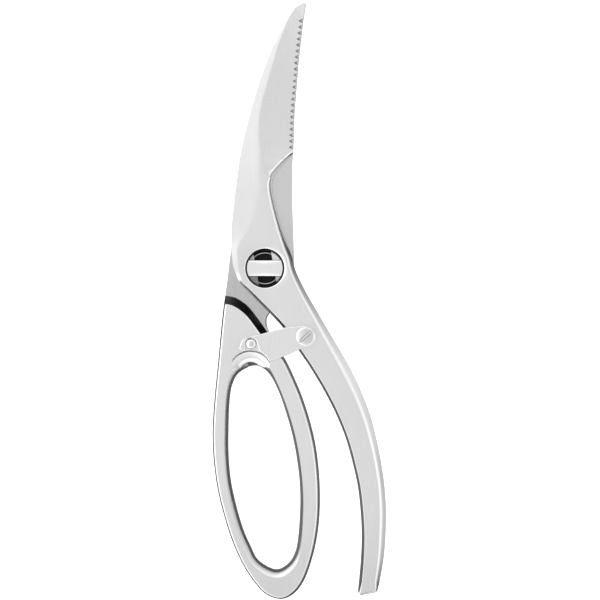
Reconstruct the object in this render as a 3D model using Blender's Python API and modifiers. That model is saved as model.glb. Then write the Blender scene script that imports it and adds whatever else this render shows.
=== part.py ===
"""Take-apart poultry shears, latched shut and lying on their rear face.

All sizes are in millimetres. The origin is on the pivot axis, in the plane that the shears lie on.
+Z points out of the front face, +Y to the blade tips and +X to the open handle's side.
"""

import math

import bmesh
import bpy

MM = 0.001

# Overall sizes
BLADE_REACH = 107.0  # pivot to the blade tips
RING_REACH = 132.6  # pivot to the far end of the ring handle
HANDLE_REACH = 130.8  # pivot to the far end of the open handle

# Thicknesses
REAR_LAP = 4.4  # the rear half where it lies under the front half
FRONT_LAP = 4.5  # the front half where it lies over the rear half
GAP = 0.3  # between pieces that touch on the real object
CHAMFER = 1.1  # on the long edges of both halves
BLADE_THINNING = 2.2  # what each blade loses towards its tip
EDGE_THICKNESS = 0.9  # left at a ground cutting edge

# Pivot
RECESS_CLEARANCE = 0.8  # round the ends of the stud's head
RECESS_DEPTH = 2.1
WEB_THICKNESS = 1.1
SLOT_ANGLE = 80.0  # how far the halves open before the stud's head can pass its slot
HEAD_LENGTH = 14.2
HEAD_WIDTH = 6.5
HEAD_THICKNESS = 1.7
HEAD_TAPER = 0.2
STUD_RADIUS = 2.7
NUT_RADIUS = 5.7
NUT_THICKNESS = 1.3
POCKET_FLOOR = 1.0
CUP_WALL = 0.6
WIRE_RADIUS = 0.45
SPRING_TURNS = 2
SPRING_LEG_ANGLE = 10.0  # of the leg in the front half; the other one stands opposite
SPANNER_HOLE_RADIUS = 0.6

# Latch
LATCH_SCREW_X, LATCH_SCREW_Y = 16.3, -27.3
LATCH_PIN_X, LATCH_PIN_Y = -5.5, -30.3
LATCH_PIN_RADIUS = 2.1
LATCH_PIN_HEIGHT = 1.9  # above the handle's face
LATCH_THICKNESS = 1.2
LATCH_HUB_RADIUS = 4.4
LATCH_SCREW_HEAD_RADIUS = 3.75
LATCH_SCREW_HEAD_HEIGHT = 0.9
LATCH_SHOULDER_RADIUS = 2.2
LATCH_THREAD_RADIUS = 1.5
LATCH_THREAD_LENGTH = 5.5
LATCH_HOOK_BOTTOM = -33.0
SCREW_SLOT_WIDTH = 0.8
SCREW_SLOT_TURN = 42.0
SCREW_DOME_RIM = 0.7
WASHER_THICKNESS = 0.4
WASHER_PLAY = 0.1

# Thumb scoop and serration
SCOOP_X, SCOOP_Y = -5.7, -42.0
SCOOP_RADIUS = 9.2
SCOOP_DEPTH = 3.0
SCOOP_SLOPE = 0.6  # of its wall: sideways for each millimetre down
OPENING_TOP = -39.1  # the ring opening's end near the pivot
RING_END_WIDTH = 11.8  # of metal at the ring's far end
OPENING_FLARE = 1.08  # how much wider the opening is at the faces
TOOTH_PITCH = 2.4
TOOTH_DEPTH = 1.2
TEETH_START, TEETH_END = 0.39, 0.915  # shares of the blade

# Worked out from the sizes above
RECESS_RADIUS = HEAD_LENGTH / 2 + RECESS_CLEARANCE
FRONT_FLOOR = REAR_LAP + GAP
TOTAL = FRONT_FLOOR + FRONT_LAP
WEB_TOP = TOTAL - RECESS_DEPTH
WEB_FLOOR = WEB_TOP - WEB_THICKNESS
POCKET_BOTTOM = NUT_THICKNESS + GAP + POCKET_FLOOR
POCKET_RADIUS = RECESS_RADIUS
CUP_RADIUS = POCKET_RADIUS - GAP
BLADE_ROOT = 10.0
SWEEP_RADIUS = 20.3  # the front half is one lap thick inside this
STEP_LEAN_X, STEP_LEAN_Y = -1.2, -3.6  # how the rear half's step slopes back towards its top
OUTLINE_STEP = 3.2
BEYOND = 2.0  # how far a cutter runs past what it cuts

# Outline stations: the share of a stretch, then x on each side of the metal
FRONT_SPINE = [(0.07, -13.3), (0.2, -12.0), (0.35, -10.1), (0.475, -7.5), (0.575, -4.9), (0.675, -1.9),
               (0.775, 1.7), (0.85, 5.1), (0.925, 9.1), (0.974, 12.2)]
CUTTING_EDGE = [(0.362, 11.0), (0.42, 11.3), (0.52, 11.6), (0.6, 12.1), (0.68, 12.8), (0.76, 13.4),
                (0.84, 14.3), (0.92, 15.2), (0.965, 15.9)]
REAR_EDGE = [(0.14, -9.6), (0.3, -7.2), (0.45, -3.6), (0.6, 0.6), (0.75, 5.4), (0.88, 10.6), (0.96, 14.2)]
TIP_X = 16.2
HANDLE_SIDES = [(0.05, 18.2, 34.1), (0.15, 23.9, 38.7), (0.25, 28.7, 42.3), (0.35, 32.5, 44.8),
                (0.45, 35.2, 46.7), (0.55, 37.3, 48.0), (0.65, 38.4, 48.6), (0.75, 38.9, 48.4),
                (0.85, 38.6, 47.6), (0.95, 37.8, 45.9)]
HANDLE_ROOT = -35.0
RING_LEFT = [(0.016, -19.0), (0.143, -20.2), (0.27, -21.0), (0.36, -20.9), (0.45, -20.2), (0.55, -18.7),
             (0.65, -16.3), (0.752, -13.2), (0.853, -8.9), (0.929, -4.2), (0.98, 0.5)]
RING_RIGHT = [(0.98, 11.5), (0.929, 15.4), (0.853, 18.3), (0.752, 20.7), (0.65, 21.9), (0.55, 22.1),
              (0.45, 21.6), (0.346, 20.3), (0.244, 18.0), (0.143, 14.9), (0.067, 11.9)]
RING_ROOT = -38.0
OPENING_LEFT = [(0.035, -10.4), (0.094, -13.1), (0.182, -14.2), (0.33, -14.6), (0.446, -14.5), (0.564, -13.6),
                (0.681, -11.6), (0.798, -8.8), (0.886, -5.7), (0.955, -2.6)]
OPENING_RIGHT = [(0.974, 9.1), (0.916, 12.1), (0.828, 13.4), (0.681, 14.1), (0.564, 13.8), (0.446, 12.6),
                 (0.33, 10.7), (0.211, 7.9), (0.123, 5.3), (0.05, 2.2), (0.012, -0.9)]


def at(stations, root, reach, side=1):
    """The stations as (x, y) points, on a stretch that runs from root to reach."""
    return [(station[side], root + station[0] * (reach - root)) for station in stations]


def smooth(points, closed=False):
    """Points about OUTLINE_STEP apart on a smooth curve through the given ones."""
    count = len(points)
    spans = count if closed else count - 1
    made = []
    for index in range(spans):
        if closed:
            before, start, end, after = (points[(index + shift) % count] for shift in (-1, 0, 1, 2))
        else:
            before, after = points[max(index - 1, 0)], points[min(index + 2, count - 1)]
            start, end = points[index], points[index + 1]
        pieces = max(1, round(math.dist(start, end) / OUTLINE_STEP))
        for piece in range(pieces):
            t = piece / pieces
            weights = (-t + 2 * t**2 - t**3, 2 - 5 * t**2 + 3 * t**3, t + 4 * t**2 - 3 * t**3, t**3 - t**2)
            corners = (before, start, end, after)
            made.append(tuple(sum(w * c[axis] for w, c in zip(weights, corners)) / 2 for axis in (0, 1)))
    return made if closed else made + [points[-1]]


def arc(x, y, radius, first, last, pieces):
    """Points on an arc from the first angle to the last, in degrees."""
    angles = [math.radians(first + (last - first) * piece / pieces) for piece in range(pieces + 1)]
    return [(x + radius * math.cos(angle), y + radius * math.sin(angle)) for angle in angles]


def steel(name, color, roughness, metallic=1.0):
    """A material with the piece's own colour and finish."""
    material = bpy.data.materials.new(name)
    material.use_nodes = True
    shader = material.node_tree.nodes["Principled BSDF"]
    shader.inputs["Base Color"].default_value = (*color, 1.0)
    shader.inputs["Roughness"].default_value = roughness
    shader.inputs["Metallic"].default_value = metallic
    return material


def mesh_object(name, mesh, collection):
    """An object for the mesh, in the collection."""
    made = bpy.data.objects.new(name, mesh)
    collection.objects.link(made)
    return made


def as_mesh(made, collection):
    """The curve object made a closed mesh object, with its caps welded."""
    bpy.context.view_layer.update()
    name = made.name
    mesh = bpy.data.meshes.new_from_object(made.evaluated_get(bpy.context.evaluated_depsgraph_get()))
    place = made.matrix_world.copy()
    bpy.data.objects.remove(made)
    work = bmesh.new()
    work.from_mesh(mesh)
    bmesh.ops.remove_doubles(work, verts=work.verts, dist=0.005 * MM)
    bmesh.ops.recalc_face_normals(work, faces=work.faces)
    work.to_mesh(mesh)
    work.free()
    result = mesh_object(name, mesh, collection)
    result.matrix_world = place
    return result


def plate(name, outline, low, high, collection, chamfer=0.0):
    """A flat outline made solid between two heights, with its long edges chamfered."""
    curve = bpy.data.curves.new(name, "CURVE")
    curve.dimensions = "2D"
    curve.fill_mode = "BOTH"
    curve.extrude = ((high - low) / 2 - chamfer) * MM
    curve.bevel_depth = chamfer * MM
    curve.bevel_resolution = 0
    curve.offset = -chamfer * MM
    spline = curve.splines.new("POLY")
    spline.points.add(len(outline) - 1)
    for point, (x, y) in zip(spline.points, outline):
        point.co = (x * MM, y * MM, 0, 1)
    spline.use_cyclic_u = True
    made = mesh_object(name, curve, collection)
    made.location.z = (low + high) / 2 * MM
    return as_mesh(made, collection)


def disc(name, radius, low, high, collection, x=0.0, y=0.0, top_radius=None, sides=48):
    """A round bar or a cone between two heights."""
    mesh = bpy.data.meshes.new(name)
    work = bmesh.new()
    upper = radius if top_radius is None else top_radius
    bmesh.ops.create_cone(work, cap_ends=True, segments=sides, radius1=radius * MM, radius2=upper * MM,
                          depth=(high - low) * MM)
    work.to_mesh(mesh)
    work.free()
    made = mesh_object(name, mesh, collection)
    made.location = (x * MM, y * MM, (low + high) / 2 * MM)
    return made


def block(name, size, centre, collection, turn=0.0):
    """A box of the given size, turned about +Z by an angle in degrees."""
    mesh = bpy.data.meshes.new(name)
    work = bmesh.new()
    bmesh.ops.create_cube(work, size=1.0)
    bmesh.ops.scale(work, verts=work.verts, vec=[side * MM for side in size])
    work.to_mesh(mesh)
    work.free()
    made = mesh_object(name, mesh, collection)
    made.location = [place * MM for place in centre]
    made.rotation_euler.z = math.radians(turn)
    return made


def turned(name, profile, collection, x=0.0, y=0.0, sides=32):
    """A turned piece: the profile's (radius, height) points run down its outer side."""
    mesh = bpy.data.meshes.new(name)
    points = [(radius * MM, 0.0, height * MM) for radius, height in profile]
    mesh.from_pydata(points, [(index, index + 1) for index in range(len(points) - 1)], [])
    made = mesh_object(name, mesh, collection)
    made.location = (x * MM, y * MM, 0)
    screw = made.modifiers.new("Turn", "SCREW")
    screw.steps = screw.render_steps = sides
    screw.use_merge_vertices = True
    screw.merge_threshold = 0.00001
    return made


def cut(made, other, operation="DIFFERENCE"):
    """Adds a Boolean with another object, which is then only a helper."""
    modifier = made.modifiers.new(other.name, "BOOLEAN")
    modifier.object = other
    modifier.operation = operation
    other.hide_render = True
    other.display_type = "WIRE"


def finish(made, material, axis):
    """Dresses a piece, shades it smooth and parents it to its joint's empty."""
    made.data.materials.clear()
    made.data.materials.append(material)
    if made.type == "MESH":
        made.data.shade_smooth()
        made.data.set_sharp_from_angle(angle=math.radians(35))
    made.parent = axis
    made.matrix_parent_inverse = axis.matrix_world.inverted()


def pivot_empty(name, x, y, collection):
    """An empty on a joint's axis."""
    made = bpy.data.objects.new(name, None)
    made.location = (x * MM, y * MM, 0)
    collection.objects.link(made)
    bpy.context.view_layer.update()
    return made


def front_outline():
    """The front half: blade, bone notch, shank and open handle."""
    spine = at(FRONT_SPINE, BLADE_ROOT, BLADE_REACH)[::-1]
    left = smooth([(TIP_X, BLADE_REACH), *spine, (-13.4, 8.5), (-12.8, 1.8), (-11.7, -2.1), (-9.7, -6.1),
                   (-7.1, -8.8)])
    inner = smooth([(1.9, -17.9), (7.6, -24.2), (14.9, -34.9), *at(HANDLE_SIDES, HANDLE_ROOT, -HANDLE_REACH)])
    end = [(37.3, -HANDLE_REACH), (37.6, -HANDLE_REACH - 0.2), (44.4, 1.0 - HANDLE_REACH), (45.0, 1.7 - HANDLE_REACH)]
    outer = smooth([*at(HANDLE_SIDES, HANDLE_ROOT, -HANDLE_REACH, side=2)[::-1], (28.4, -29.9), (22.7, -20.3),
                    (17.1, -10.7), (14.0, -4.7), (12.0, 0.0), (10.9, 4.4), (9.3, 8.5)])
    notch = smooth(at([(0.055, 6.8), (0.136, 4.7), (0.2, 3.3), (0.24, 2.9), (0.277, 3.5), (0.32, 6.9), (0.352, 10.3)],
                      BLADE_ROOT, BLADE_REACH))
    edge = smooth(at(CUTTING_EDGE, BLADE_ROOT, BLADE_REACH))
    return left + inner + end + outer + notch + edge


def rear_outline():
    """The rear half: blade, neck and ring handle, without the ring's opening."""
    spine = [(TIP_X + 0.5, BLADE_REACH), *[(x + 0.3, y) for x, y in at(CUTTING_EDGE, BLADE_ROOT, BLADE_REACH)[::-1]]]
    edge = smooth([(TIP_X - 0.6, BLADE_REACH - 1.5), *at(REAR_EDGE, BLADE_ROOT, BLADE_REACH)[::-1], (-12.2, 13.0)])
    left = smooth([(-13.4, 9.0), (-14.2, 3.7), (-15.0, -3.5), (-16.3, -13.1), (-17.4, -22.7),
                   *at(RING_LEFT, RING_ROOT, -RING_REACH), (6.5, -RING_REACH),
                   *at(RING_RIGHT, RING_ROOT, -RING_REACH), (8.6, -37.4), (4.6, -31.0), (1.6, -25.4)])
    neck = smooth([(0.7, -23.0), (0.6, -20.6), (1.9, -17.9), (6.0, -13.0), (9.8, -7.6), (11.4, -2.5), (11.7, 4.0),
                   (11.4, 14.0), (11.0, 28.0), (11.0, 42.0)])
    return edge + left + neck + smooth(spine[::-1])[:-1]


def opening_outline():
    """The ring's opening where it is narrowest."""
    end = RING_END_WIDTH - RING_REACH
    points = [(-4.6, OPENING_TOP), *at(OPENING_LEFT, OPENING_TOP, end), (4.1, end),
              *at(OPENING_RIGHT, OPENING_TOP, end)]
    return smooth(points, closed=True)


def flared(made, factor, upward):
    """Widens the top or the bottom of a plate about its own middle."""
    points = [vertex.co for vertex in made.data.vertices]
    middle = [sum(point[axis] for point in points) / len(points) for axis in (0, 1)]
    for point in points:
        if (point.z > 0) == upward:
            for axis in (0, 1):
                point[axis] = middle[axis] + factor * (point[axis] - middle[axis])
    return made


def grind(name, facet, edge, top, floor, tip_top, collection):
    """The wedge that is ground off a blade, from its facet line out to its cutting edge.

    facet and edge are (x, y) points in pairs. top and tip_top are the blade's face at its root and
    at its tip, and floor is the height that the ground face reaches at the edge.
    """
    away = math.copysign(BEYOND, top - floor)
    mesh = bpy.data.meshes.new(name)
    work = bmesh.new()
    rings = []
    for (x0, y0), (x1, y1) in zip(facet, edge):
        share = (y0 - BLADE_ROOT) / (BLADE_REACH - BLADE_ROOT)
        face = top + share * (tip_top - top)
        slope = (floor - face) / (x1 - x0)
        out = math.copysign(BEYOND, x1 - x0)
        low = floor + out * slope
        high = face - out * slope
        ring = [(x1 + out, y1, low), (x0 - out, y0, high), (x0 - out, y0, high + 2 * away), (x1 + out, y1, top + away)]
        rings.append([work.verts.new([value * MM for value in point]) for point in ring])
    for first, second in zip(rings, rings[1:]):
        for side in range(4):
            after = (side + 1) % 4
            work.faces.new((first[side], first[after], second[after], second[side]))
    work.faces.new(rings[0])
    work.faces.new(rings[-1])
    bmesh.ops.triangulate(work, faces=work.faces)
    bmesh.ops.recalc_face_normals(work, faces=work.faces)
    work.to_mesh(mesh)
    work.free()
    return mesh_object(name, mesh, collection)


def thinning(name, face, outwards, collection):
    """The wedge that thins a blade evenly from its root to its tip."""
    length = BLADE_REACH - BLADE_ROOT
    depth = 10.0
    made = block(name, (80.0, 2 * length, depth), (0, BLADE_ROOT, face), collection)
    for vertex in made.data.vertices:
        vertex.co.y += (length - BEYOND) * MM
        vertex.co.z += outwards * depth / 2 * MM
    made.rotation_euler.x = -outwards * math.atan2(BLADE_THINNING, length)
    return made


def teeth(collection):
    """The notches filed across the front blade's cutting edge, as one cutter."""
    edge = at(CUTTING_EDGE, BLADE_ROOT, BLADE_REACH)
    first = BLADE_ROOT + TEETH_START * (BLADE_REACH - BLADE_ROOT)
    last = BLADE_ROOT + TEETH_END * (BLADE_REACH - BLADE_ROOT)
    mesh = bpy.data.meshes.new("teeth_cutter")
    work = bmesh.new()
    for index in range(int((last - first) / TOOTH_PITCH) + 1):
        y = first + index * TOOTH_PITCH
        below = max(point for point in edge if point[1] <= y)
        above = min(point for point in edge if point[1] > y)
        x = below[0] + (y - below[1]) / (above[1] - below[1]) * (above[0] - below[0])
        made = bmesh.ops.create_cone(work, cap_ends=True, segments=3, radius1=TOOTH_DEPTH * MM,
                                     radius2=TOOTH_DEPTH * MM, depth=4 * TOTAL * MM)
        # A corner of each prism points into the blade.
        for vertex in made["verts"]:
            vertex.co.x, vertex.co.y = -vertex.co.y + x * MM, vertex.co.x + y * MM
    work.to_mesh(mesh)
    work.free()
    return mesh_object("teeth_cutter", mesh, collection)


def front_half(parts, cutters):
    """The forging of the front blade and the open handle."""
    half = plate("open_half", front_outline(), 0.0, TOTAL, parts, CHAMFER)
    side = 3 * SWEEP_RADIUS
    hub = arc(0, 0, SWEEP_RADIUS, -4, -176, 31)
    lap = [(side, hub[0][1]), *hub, (-side, hub[-1][1]), (-side, BLADE_REACH + side), (side, BLADE_REACH + side)]
    cut(half, plate("front_lap_cutter", lap, -BEYOND, FRONT_FLOOR, cutters))
    facet = at([(0.24, 2.0), (0.3, 0.4), (0.4, -1.7), (0.5, -2.0), (0.6, -0.6), (0.7, 2.2), (0.8, 5.0), (0.9, 8.2),
                (1.02, 12.2)], BLADE_ROOT, BLADE_REACH)
    edge = at([(0.24, 11.4), (0.3, 11.0), (0.4, 11.2), (0.5, 11.55), (0.6, 12.1), (0.7, 12.95), (0.8, 13.8),
               (0.9, 14.95), (1.02, 16.8)], BLADE_ROOT, BLADE_REACH)
    cut(half, grind("front_grind", facet, edge, TOTAL, FRONT_FLOOR + EDGE_THICKNESS, TOTAL - BLADE_THINNING, cutters))
    cut(half, thinning("front_thinning", TOTAL, 1, cutters))
    cut(half, teeth(cutters))
    cut(half, disc("recess_cutter", RECESS_RADIUS, FRONT_FLOOR - BEYOND, TOTAL + BEYOND, cutters))
    web = disc("web", RECESS_RADIUS + 0.8, WEB_FLOOR, WEB_TOP, cutters)
    cut(web, block("slot_cutter", (HEAD_WIDTH + 2 * GAP, 3 * RECESS_RADIUS, TOTAL), (0, 0, WEB_TOP), cutters,
                   90.0 - SLOT_ANGLE))
    cut(half, web, "UNION")
    cut(half, disc("spring_leg_cutter", WIRE_RADIUS + GAP, WEB_FLOOR - BEYOND, WEB_FLOOR + WEB_THICKNESS / 2, cutters,
                   *spring_leg(1), sides=12))
    screw_floor = TOTAL - LATCH_THREAD_LENGTH - GAP
    cut(half, disc("latch_screw_hole", LATCH_THREAD_RADIUS + GAP, screw_floor, TOTAL + BEYOND, cutters,
                   LATCH_SCREW_X, LATCH_SCREW_Y, sides=24))
    cut(half, disc("washer_seat_cutter", LATCH_SCREW_HEAD_RADIUS + GAP, TOTAL - WASHER_THICKNESS - 2 * GAP,
                   TOTAL + BEYOND, cutters, LATCH_SCREW_X, LATCH_SCREW_Y, sides=32))
    return half


def rear_half(parts, cutters):
    """The forging of the rear blade and the ring handle."""
    half = plate("ring_half", rear_outline(), 0.0, TOTAL, parts, CHAMFER)
    step = smooth([(-19.0, -10.3), (-15.5, -10.7), (-12.0, -11.4), (-8.7, -13.3), (-5.9, -15.8), (-2.2, -20.6),
                   (0.6, -24.6), (4.0, -30.0)])
    lap = [*step, (60.0, -30.0), (60.0, BLADE_REACH + 20.0), (-60.0, BLADE_REACH + 20.0), (-60.0, -10.3)]
    lap_cutter = plate("rear_lap_cutter", lap, REAR_LAP, TOTAL + BEYOND, cutters)
    for vertex in lap_cutter.data.vertices:
        if vertex.co.z > 0:
            vertex.co.x += STEP_LEAN_X * MM
            vertex.co.y += STEP_LEAN_Y * MM
    cut(half, lap_cutter)
    opening = opening_outline()
    cut(half, plate("opening_cutter", opening, -BEYOND, TOTAL + BEYOND, cutters))
    quarter = TOTAL / 4
    cut(half, flared(plate("front_flare", opening, TOTAL - quarter, TOTAL + quarter, cutters), OPENING_FLARE, True))
    cut(half, flared(plate("rear_flare", opening, -quarter, quarter, cutters), OPENING_FLARE, False))
    cut(half, disc("scoop_cutter", SCOOP_RADIUS - SCOOP_DEPTH * SCOOP_SLOPE, TOTAL - SCOOP_DEPTH, TOTAL + BEYOND,
                   cutters, SCOOP_X, SCOOP_Y, SCOOP_RADIUS + BEYOND * SCOOP_SLOPE, sides=40))
    facet = at([(0.1, 3.2), (0.3, 2.6), (0.45, 3.6), (0.6, 6.0), (0.75, 10.0), (0.9, 15.0), (1.02, 19.5)],
               BLADE_ROOT, BLADE_REACH)
    edge = at([(0.1, -11.0), (0.3, -7.2), (0.45, -3.6), (0.6, 0.6), (0.75, 5.4), (0.9, 11.5), (1.02, 15.9)],
              BLADE_ROOT, BLADE_REACH)
    cut(half, grind("rear_grind", facet, edge, 0.0, REAR_LAP - EDGE_THICKNESS, BLADE_THINNING, cutters))
    cut(half, thinning("rear_thinning", 0.0, -1, cutters))
    cut(half, disc("pocket_cutter", POCKET_RADIUS, POCKET_BOTTOM, REAR_LAP + BEYOND, cutters))
    cut(half, disc("stud_hole", STUD_RADIUS + GAP, -BEYOND, REAR_LAP, cutters, sides=32))
    cut(half, disc("nut_seat_cutter", NUT_RADIUS + GAP, -BEYOND, NUT_THICKNESS + GAP, cutters, sides=40))
    cut(half, disc("spring_foot_cutter", WIRE_RADIUS + GAP, POCKET_BOTTOM - POCKET_FLOOR / 2, REAR_LAP, cutters,
                   *spring_leg(-1), sides=12))
    cut(half, disc("latch_pin_hole", LATCH_THREAD_RADIUS + GAP, TOTAL - LATCH_THREAD_LENGTH - GAP, TOTAL + BEYOND,
                   cutters, LATCH_PIN_X, LATCH_PIN_Y, sides=24))
    return half


def stud(parts, cutters):
    """The pivot stud: a shaft with a flat bar of a head that passes the front half's slot."""
    shaft = turned("pivot_stud", [(0, WEB_TOP + 2 * GAP), (STUD_RADIUS, WEB_TOP + 2 * GAP), (STUD_RADIUS, 0), (0, 0)],
                   parts)
    floor = WEB_TOP + GAP
    head = disc("stud_head", HEAD_LENGTH / 2, floor, floor + HEAD_THICKNESS, cutters,
                top_radius=HEAD_LENGTH / 2 - HEAD_TAPER)
    sides = block("head_sides", (HEAD_LENGTH + BEYOND, HEAD_WIDTH, 3 * HEAD_THICKNESS), (0, 0, WEB_TOP), cutters)
    cut(head, sides, "INTERSECT")
    cut(shaft, head, "UNION")
    return shaft


def spring_leg(end):
    """Where the torsion spring's leg stands: end 1 in the front half's web, -1 in the rear half's pocket."""
    radius = CUP_RADIUS - CUP_WALL - GAP - WIRE_RADIUS
    angle = math.radians(SPRING_LEG_ANGLE if end == 1 else SPRING_LEG_ANGLE + 180.0)
    return radius * math.cos(angle), radius * math.sin(angle)


def spring(parts):
    """The torsion spring that pushes the handles apart, wound round the stud."""
    radius = CUP_RADIUS - CUP_WALL - GAP - WIRE_RADIUS
    low = POCKET_BOTTOM + 2 * GAP + CUP_WALL + WIRE_RADIUS
    high = WEB_FLOOR - GAP - WIRE_RADIUS
    steps = 24
    total = int(steps * (SPRING_TURNS - 0.5))
    points = [(*spring_leg(-1), low)]
    first = math.radians(SPRING_LEG_ANGLE + 180.0)
    for index in range(1, total + 1):
        angle = first + 2 * math.pi * index / steps
        points.append((radius * math.cos(angle), radius * math.sin(angle), low + (high - low) * index / total))
    points.append((*spring_leg(1), WEB_FLOOR + WEB_THICKNESS / 2 - GAP))
    curve = bpy.data.curves.new("torsion_spring", "CURVE")
    curve.dimensions = "3D"
    curve.bevel_depth = WIRE_RADIUS * MM
    curve.bevel_resolution = 1
    curve.use_fill_caps = True
    line = curve.splines.new("POLY")
    line.points.add(len(points) - 1)
    for point, place in zip(line.points, points):
        point.co = (*[value * MM for value in place], 1)
    return mesh_object("torsion_spring", curve, parts)


def cup(parts):
    """The bearing cup that centres the front half and holds the spring."""
    floor = POCKET_BOTTOM + GAP
    inner = CUP_RADIUS - CUP_WALL
    rim = WEB_FLOOR - GAP
    hole = STUD_RADIUS + GAP
    return turned("bearing_cup", [(inner, rim), (CUP_RADIUS, rim), (CUP_RADIUS, floor), (hole, floor),
                                  (hole, floor + CUP_WALL), (inner, floor + CUP_WALL), (inner, rim)], parts, sides=48)


def nut(parts, cutters):
    """The round nut on the stud's rear end, flush with the rear face, with two spanner holes."""
    hole = STUD_RADIUS + GAP
    edge = NUT_THICKNESS / 4
    made = turned("pivot_nut", [(hole, NUT_THICKNESS), (NUT_RADIUS, NUT_THICKNESS), (NUT_RADIUS, edge),
                                (NUT_RADIUS - edge, 0.0), (hole, 0.0), (hole, NUT_THICKNESS)], parts, sides=40)
    for side in (-1, 1):
        cut(made, disc("spanner_hole", SPANNER_HOLE_RADIUS, -BEYOND, NUT_THICKNESS / 2, cutters,
                       side * (NUT_RADIUS + hole) / 2, sides=12))
    return made


def latch_pin(parts):
    """The domed pin that the latch hooks round, pressed into the ring handle."""
    foot = TOTAL - LATCH_THREAD_LENGTH
    shoulder = TOTAL + GAP
    straight = TOTAL + LATCH_PIN_HEIGHT - LATCH_PIN_RADIUS / 2
    dome = [(LATCH_PIN_RADIUS * math.cos(angle), straight + LATCH_PIN_RADIUS / 2 * math.sin(angle))
            for angle in (math.radians(step * 15) for step in range(6, -1, -1))]
    dome[0] = (0, dome[0][1])
    return turned("latch_pin", [*dome, (LATCH_PIN_RADIUS, shoulder), (LATCH_THREAD_RADIUS, shoulder),
                                (LATCH_THREAD_RADIUS, foot), (0, foot)], parts, LATCH_PIN_X, LATCH_PIN_Y, sides=28)


def latch_screw(parts, cutters):
    """The shouldered screw that the latch swings on."""
    foot = TOTAL - LATCH_THREAD_LENGTH
    seat = TOTAL - WASHER_THICKNESS - GAP
    head = TOTAL + 2 * GAP + LATCH_THICKNESS
    top = head + LATCH_SCREW_HEAD_HEIGHT
    made = turned("latch_screw", [(0, top), (LATCH_SCREW_HEAD_RADIUS - SCREW_DOME_RIM, top),
                                  (LATCH_SCREW_HEAD_RADIUS, top - LATCH_SCREW_HEAD_HEIGHT * 0.4),
                                  (LATCH_SCREW_HEAD_RADIUS, head), (LATCH_SHOULDER_RADIUS, head),
                                  (LATCH_SHOULDER_RADIUS, seat), (LATCH_THREAD_RADIUS, seat),
                                  (LATCH_THREAD_RADIUS, foot), (0, foot)], parts, LATCH_SCREW_X, LATCH_SCREW_Y)
    cut(made, block("screw_slot", (3 * LATCH_SCREW_HEAD_RADIUS, SCREW_SLOT_WIDTH, LATCH_SCREW_HEAD_HEIGHT),
                    (LATCH_SCREW_X, LATCH_SCREW_Y, top), cutters, SCREW_SLOT_TURN))
    return made


def latch_washer(parts):
    """The spring washer under the latch that keeps it where it is put."""
    low = TOTAL - WASHER_THICKNESS - GAP + WASHER_PLAY
    hole = LATCH_SHOULDER_RADIUS + GAP
    outer = LATCH_SCREW_HEAD_RADIUS
    high = low + WASHER_THICKNESS
    return turned("latch_washer", [(hole, high), (outer, high), (outer, low), (hole, low), (hole, high)], parts,
                  LATCH_SCREW_X, LATCH_SCREW_Y)


def latch(parts, cutters):
    """The latch strap: an eye at the screw and a hook that drops over the pin."""
    inner = LATCH_PIN_RADIUS + GAP
    arch = arc(LATCH_PIN_X, LATCH_PIN_Y, inner, 0, 180, 10)
    left, bottom = LATCH_PIN_X - inner, LATCH_HOOK_BOTTOM
    # The mouth's right side keeps clear of the pin's path round the screw.
    path = math.dist((LATCH_PIN_X, LATCH_PIN_Y), (LATCH_SCREW_X, LATCH_SCREW_Y)) - inner - GAP / 2
    pin_angle = math.degrees(math.atan2(LATCH_PIN_Y - LATCH_SCREW_Y, LATCH_PIN_X - LATCH_SCREW_X)) % 360
    mouth = arc(LATCH_SCREW_X, LATCH_SCREW_Y, path, pin_angle + 9.5, pin_angle + 3.0, 2)
    end = [*smooth([(1.7, -37.2), (0.9, -35.9), (-0.6, -34.4), mouth[0]]), *mouth[1:]]
    finger = [(left + 0.3, bottom), (left - 0.7, bottom - 0.2)]
    back = smooth([(left - 2.3, bottom + 0.7), (left - 1.9, -30.6), (left - 0.6, -28.4), (-4.6, -27.0), (0.0, -25.9),
                   (8.1, -23.7)])
    eye = arc(LATCH_SCREW_X, LATCH_SCREW_Y, LATCH_HUB_RADIUS, 100, -60, 16)
    belly = smooth([(13.7, -32.6), (7.3, -35.4), (3.0, -36.8)])
    outline = [*end, *arch, *finger, *back, *eye, *belly]
    strap = plate("latch_strap", outline, TOTAL + GAP, TOTAL + GAP + LATCH_THICKNESS, parts)
    cut(strap, disc("eye_cutter", LATCH_SHOULDER_RADIUS + GAP, TOTAL - BEYOND, TOTAL + BEYOND + LATCH_THICKNESS,
                    cutters, LATCH_SCREW_X, LATCH_SCREW_Y, sides=32))
    return strap


def main():
    """Builds every piece."""
    for old in list(bpy.data.objects):
        bpy.data.objects.remove(old)
    parts = bpy.data.collections.new("poultry_shears")
    cutters = bpy.data.collections.new("cutters")
    for collection in (parts, cutters):
        bpy.context.scene.collection.children.link(collection)

    satin = steel("satin_steel", (0.72, 0.72, 0.72), 0.32)
    polished = steel("polished_steel", (0.8, 0.8, 0.8), 0.12)
    brushed = steel("brushed_steel", (0.7, 0.7, 0.7), 0.28)
    spring_steel = steel("spring_steel", (0.45, 0.45, 0.46), 0.35)
    black = steel("black_plastic", (0.02, 0.02, 0.02), 0.5, 0.0)

    pivot = pivot_empty("pivot_axis", 0, 0, parts)
    swing = pivot_empty("latch_axis", LATCH_SCREW_X, LATCH_SCREW_Y, parts)
    swing.parent = pivot
    finish(rear_half(parts, cutters), satin, pivot)
    finish(front_half(parts, cutters), satin, pivot)
    finish(stud(parts, cutters), polished, pivot)
    finish(nut(parts, cutters), polished, pivot)
    finish(cup(parts), black, pivot)
    finish(spring(parts), spring_steel, pivot)
    finish(latch_pin(parts), polished, pivot)
    finish(latch_screw(parts, cutters), polished, swing)
    finish(latch_washer(parts), spring_steel, swing)
    finish(latch(parts, cutters), brushed, swing)


main()
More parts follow.
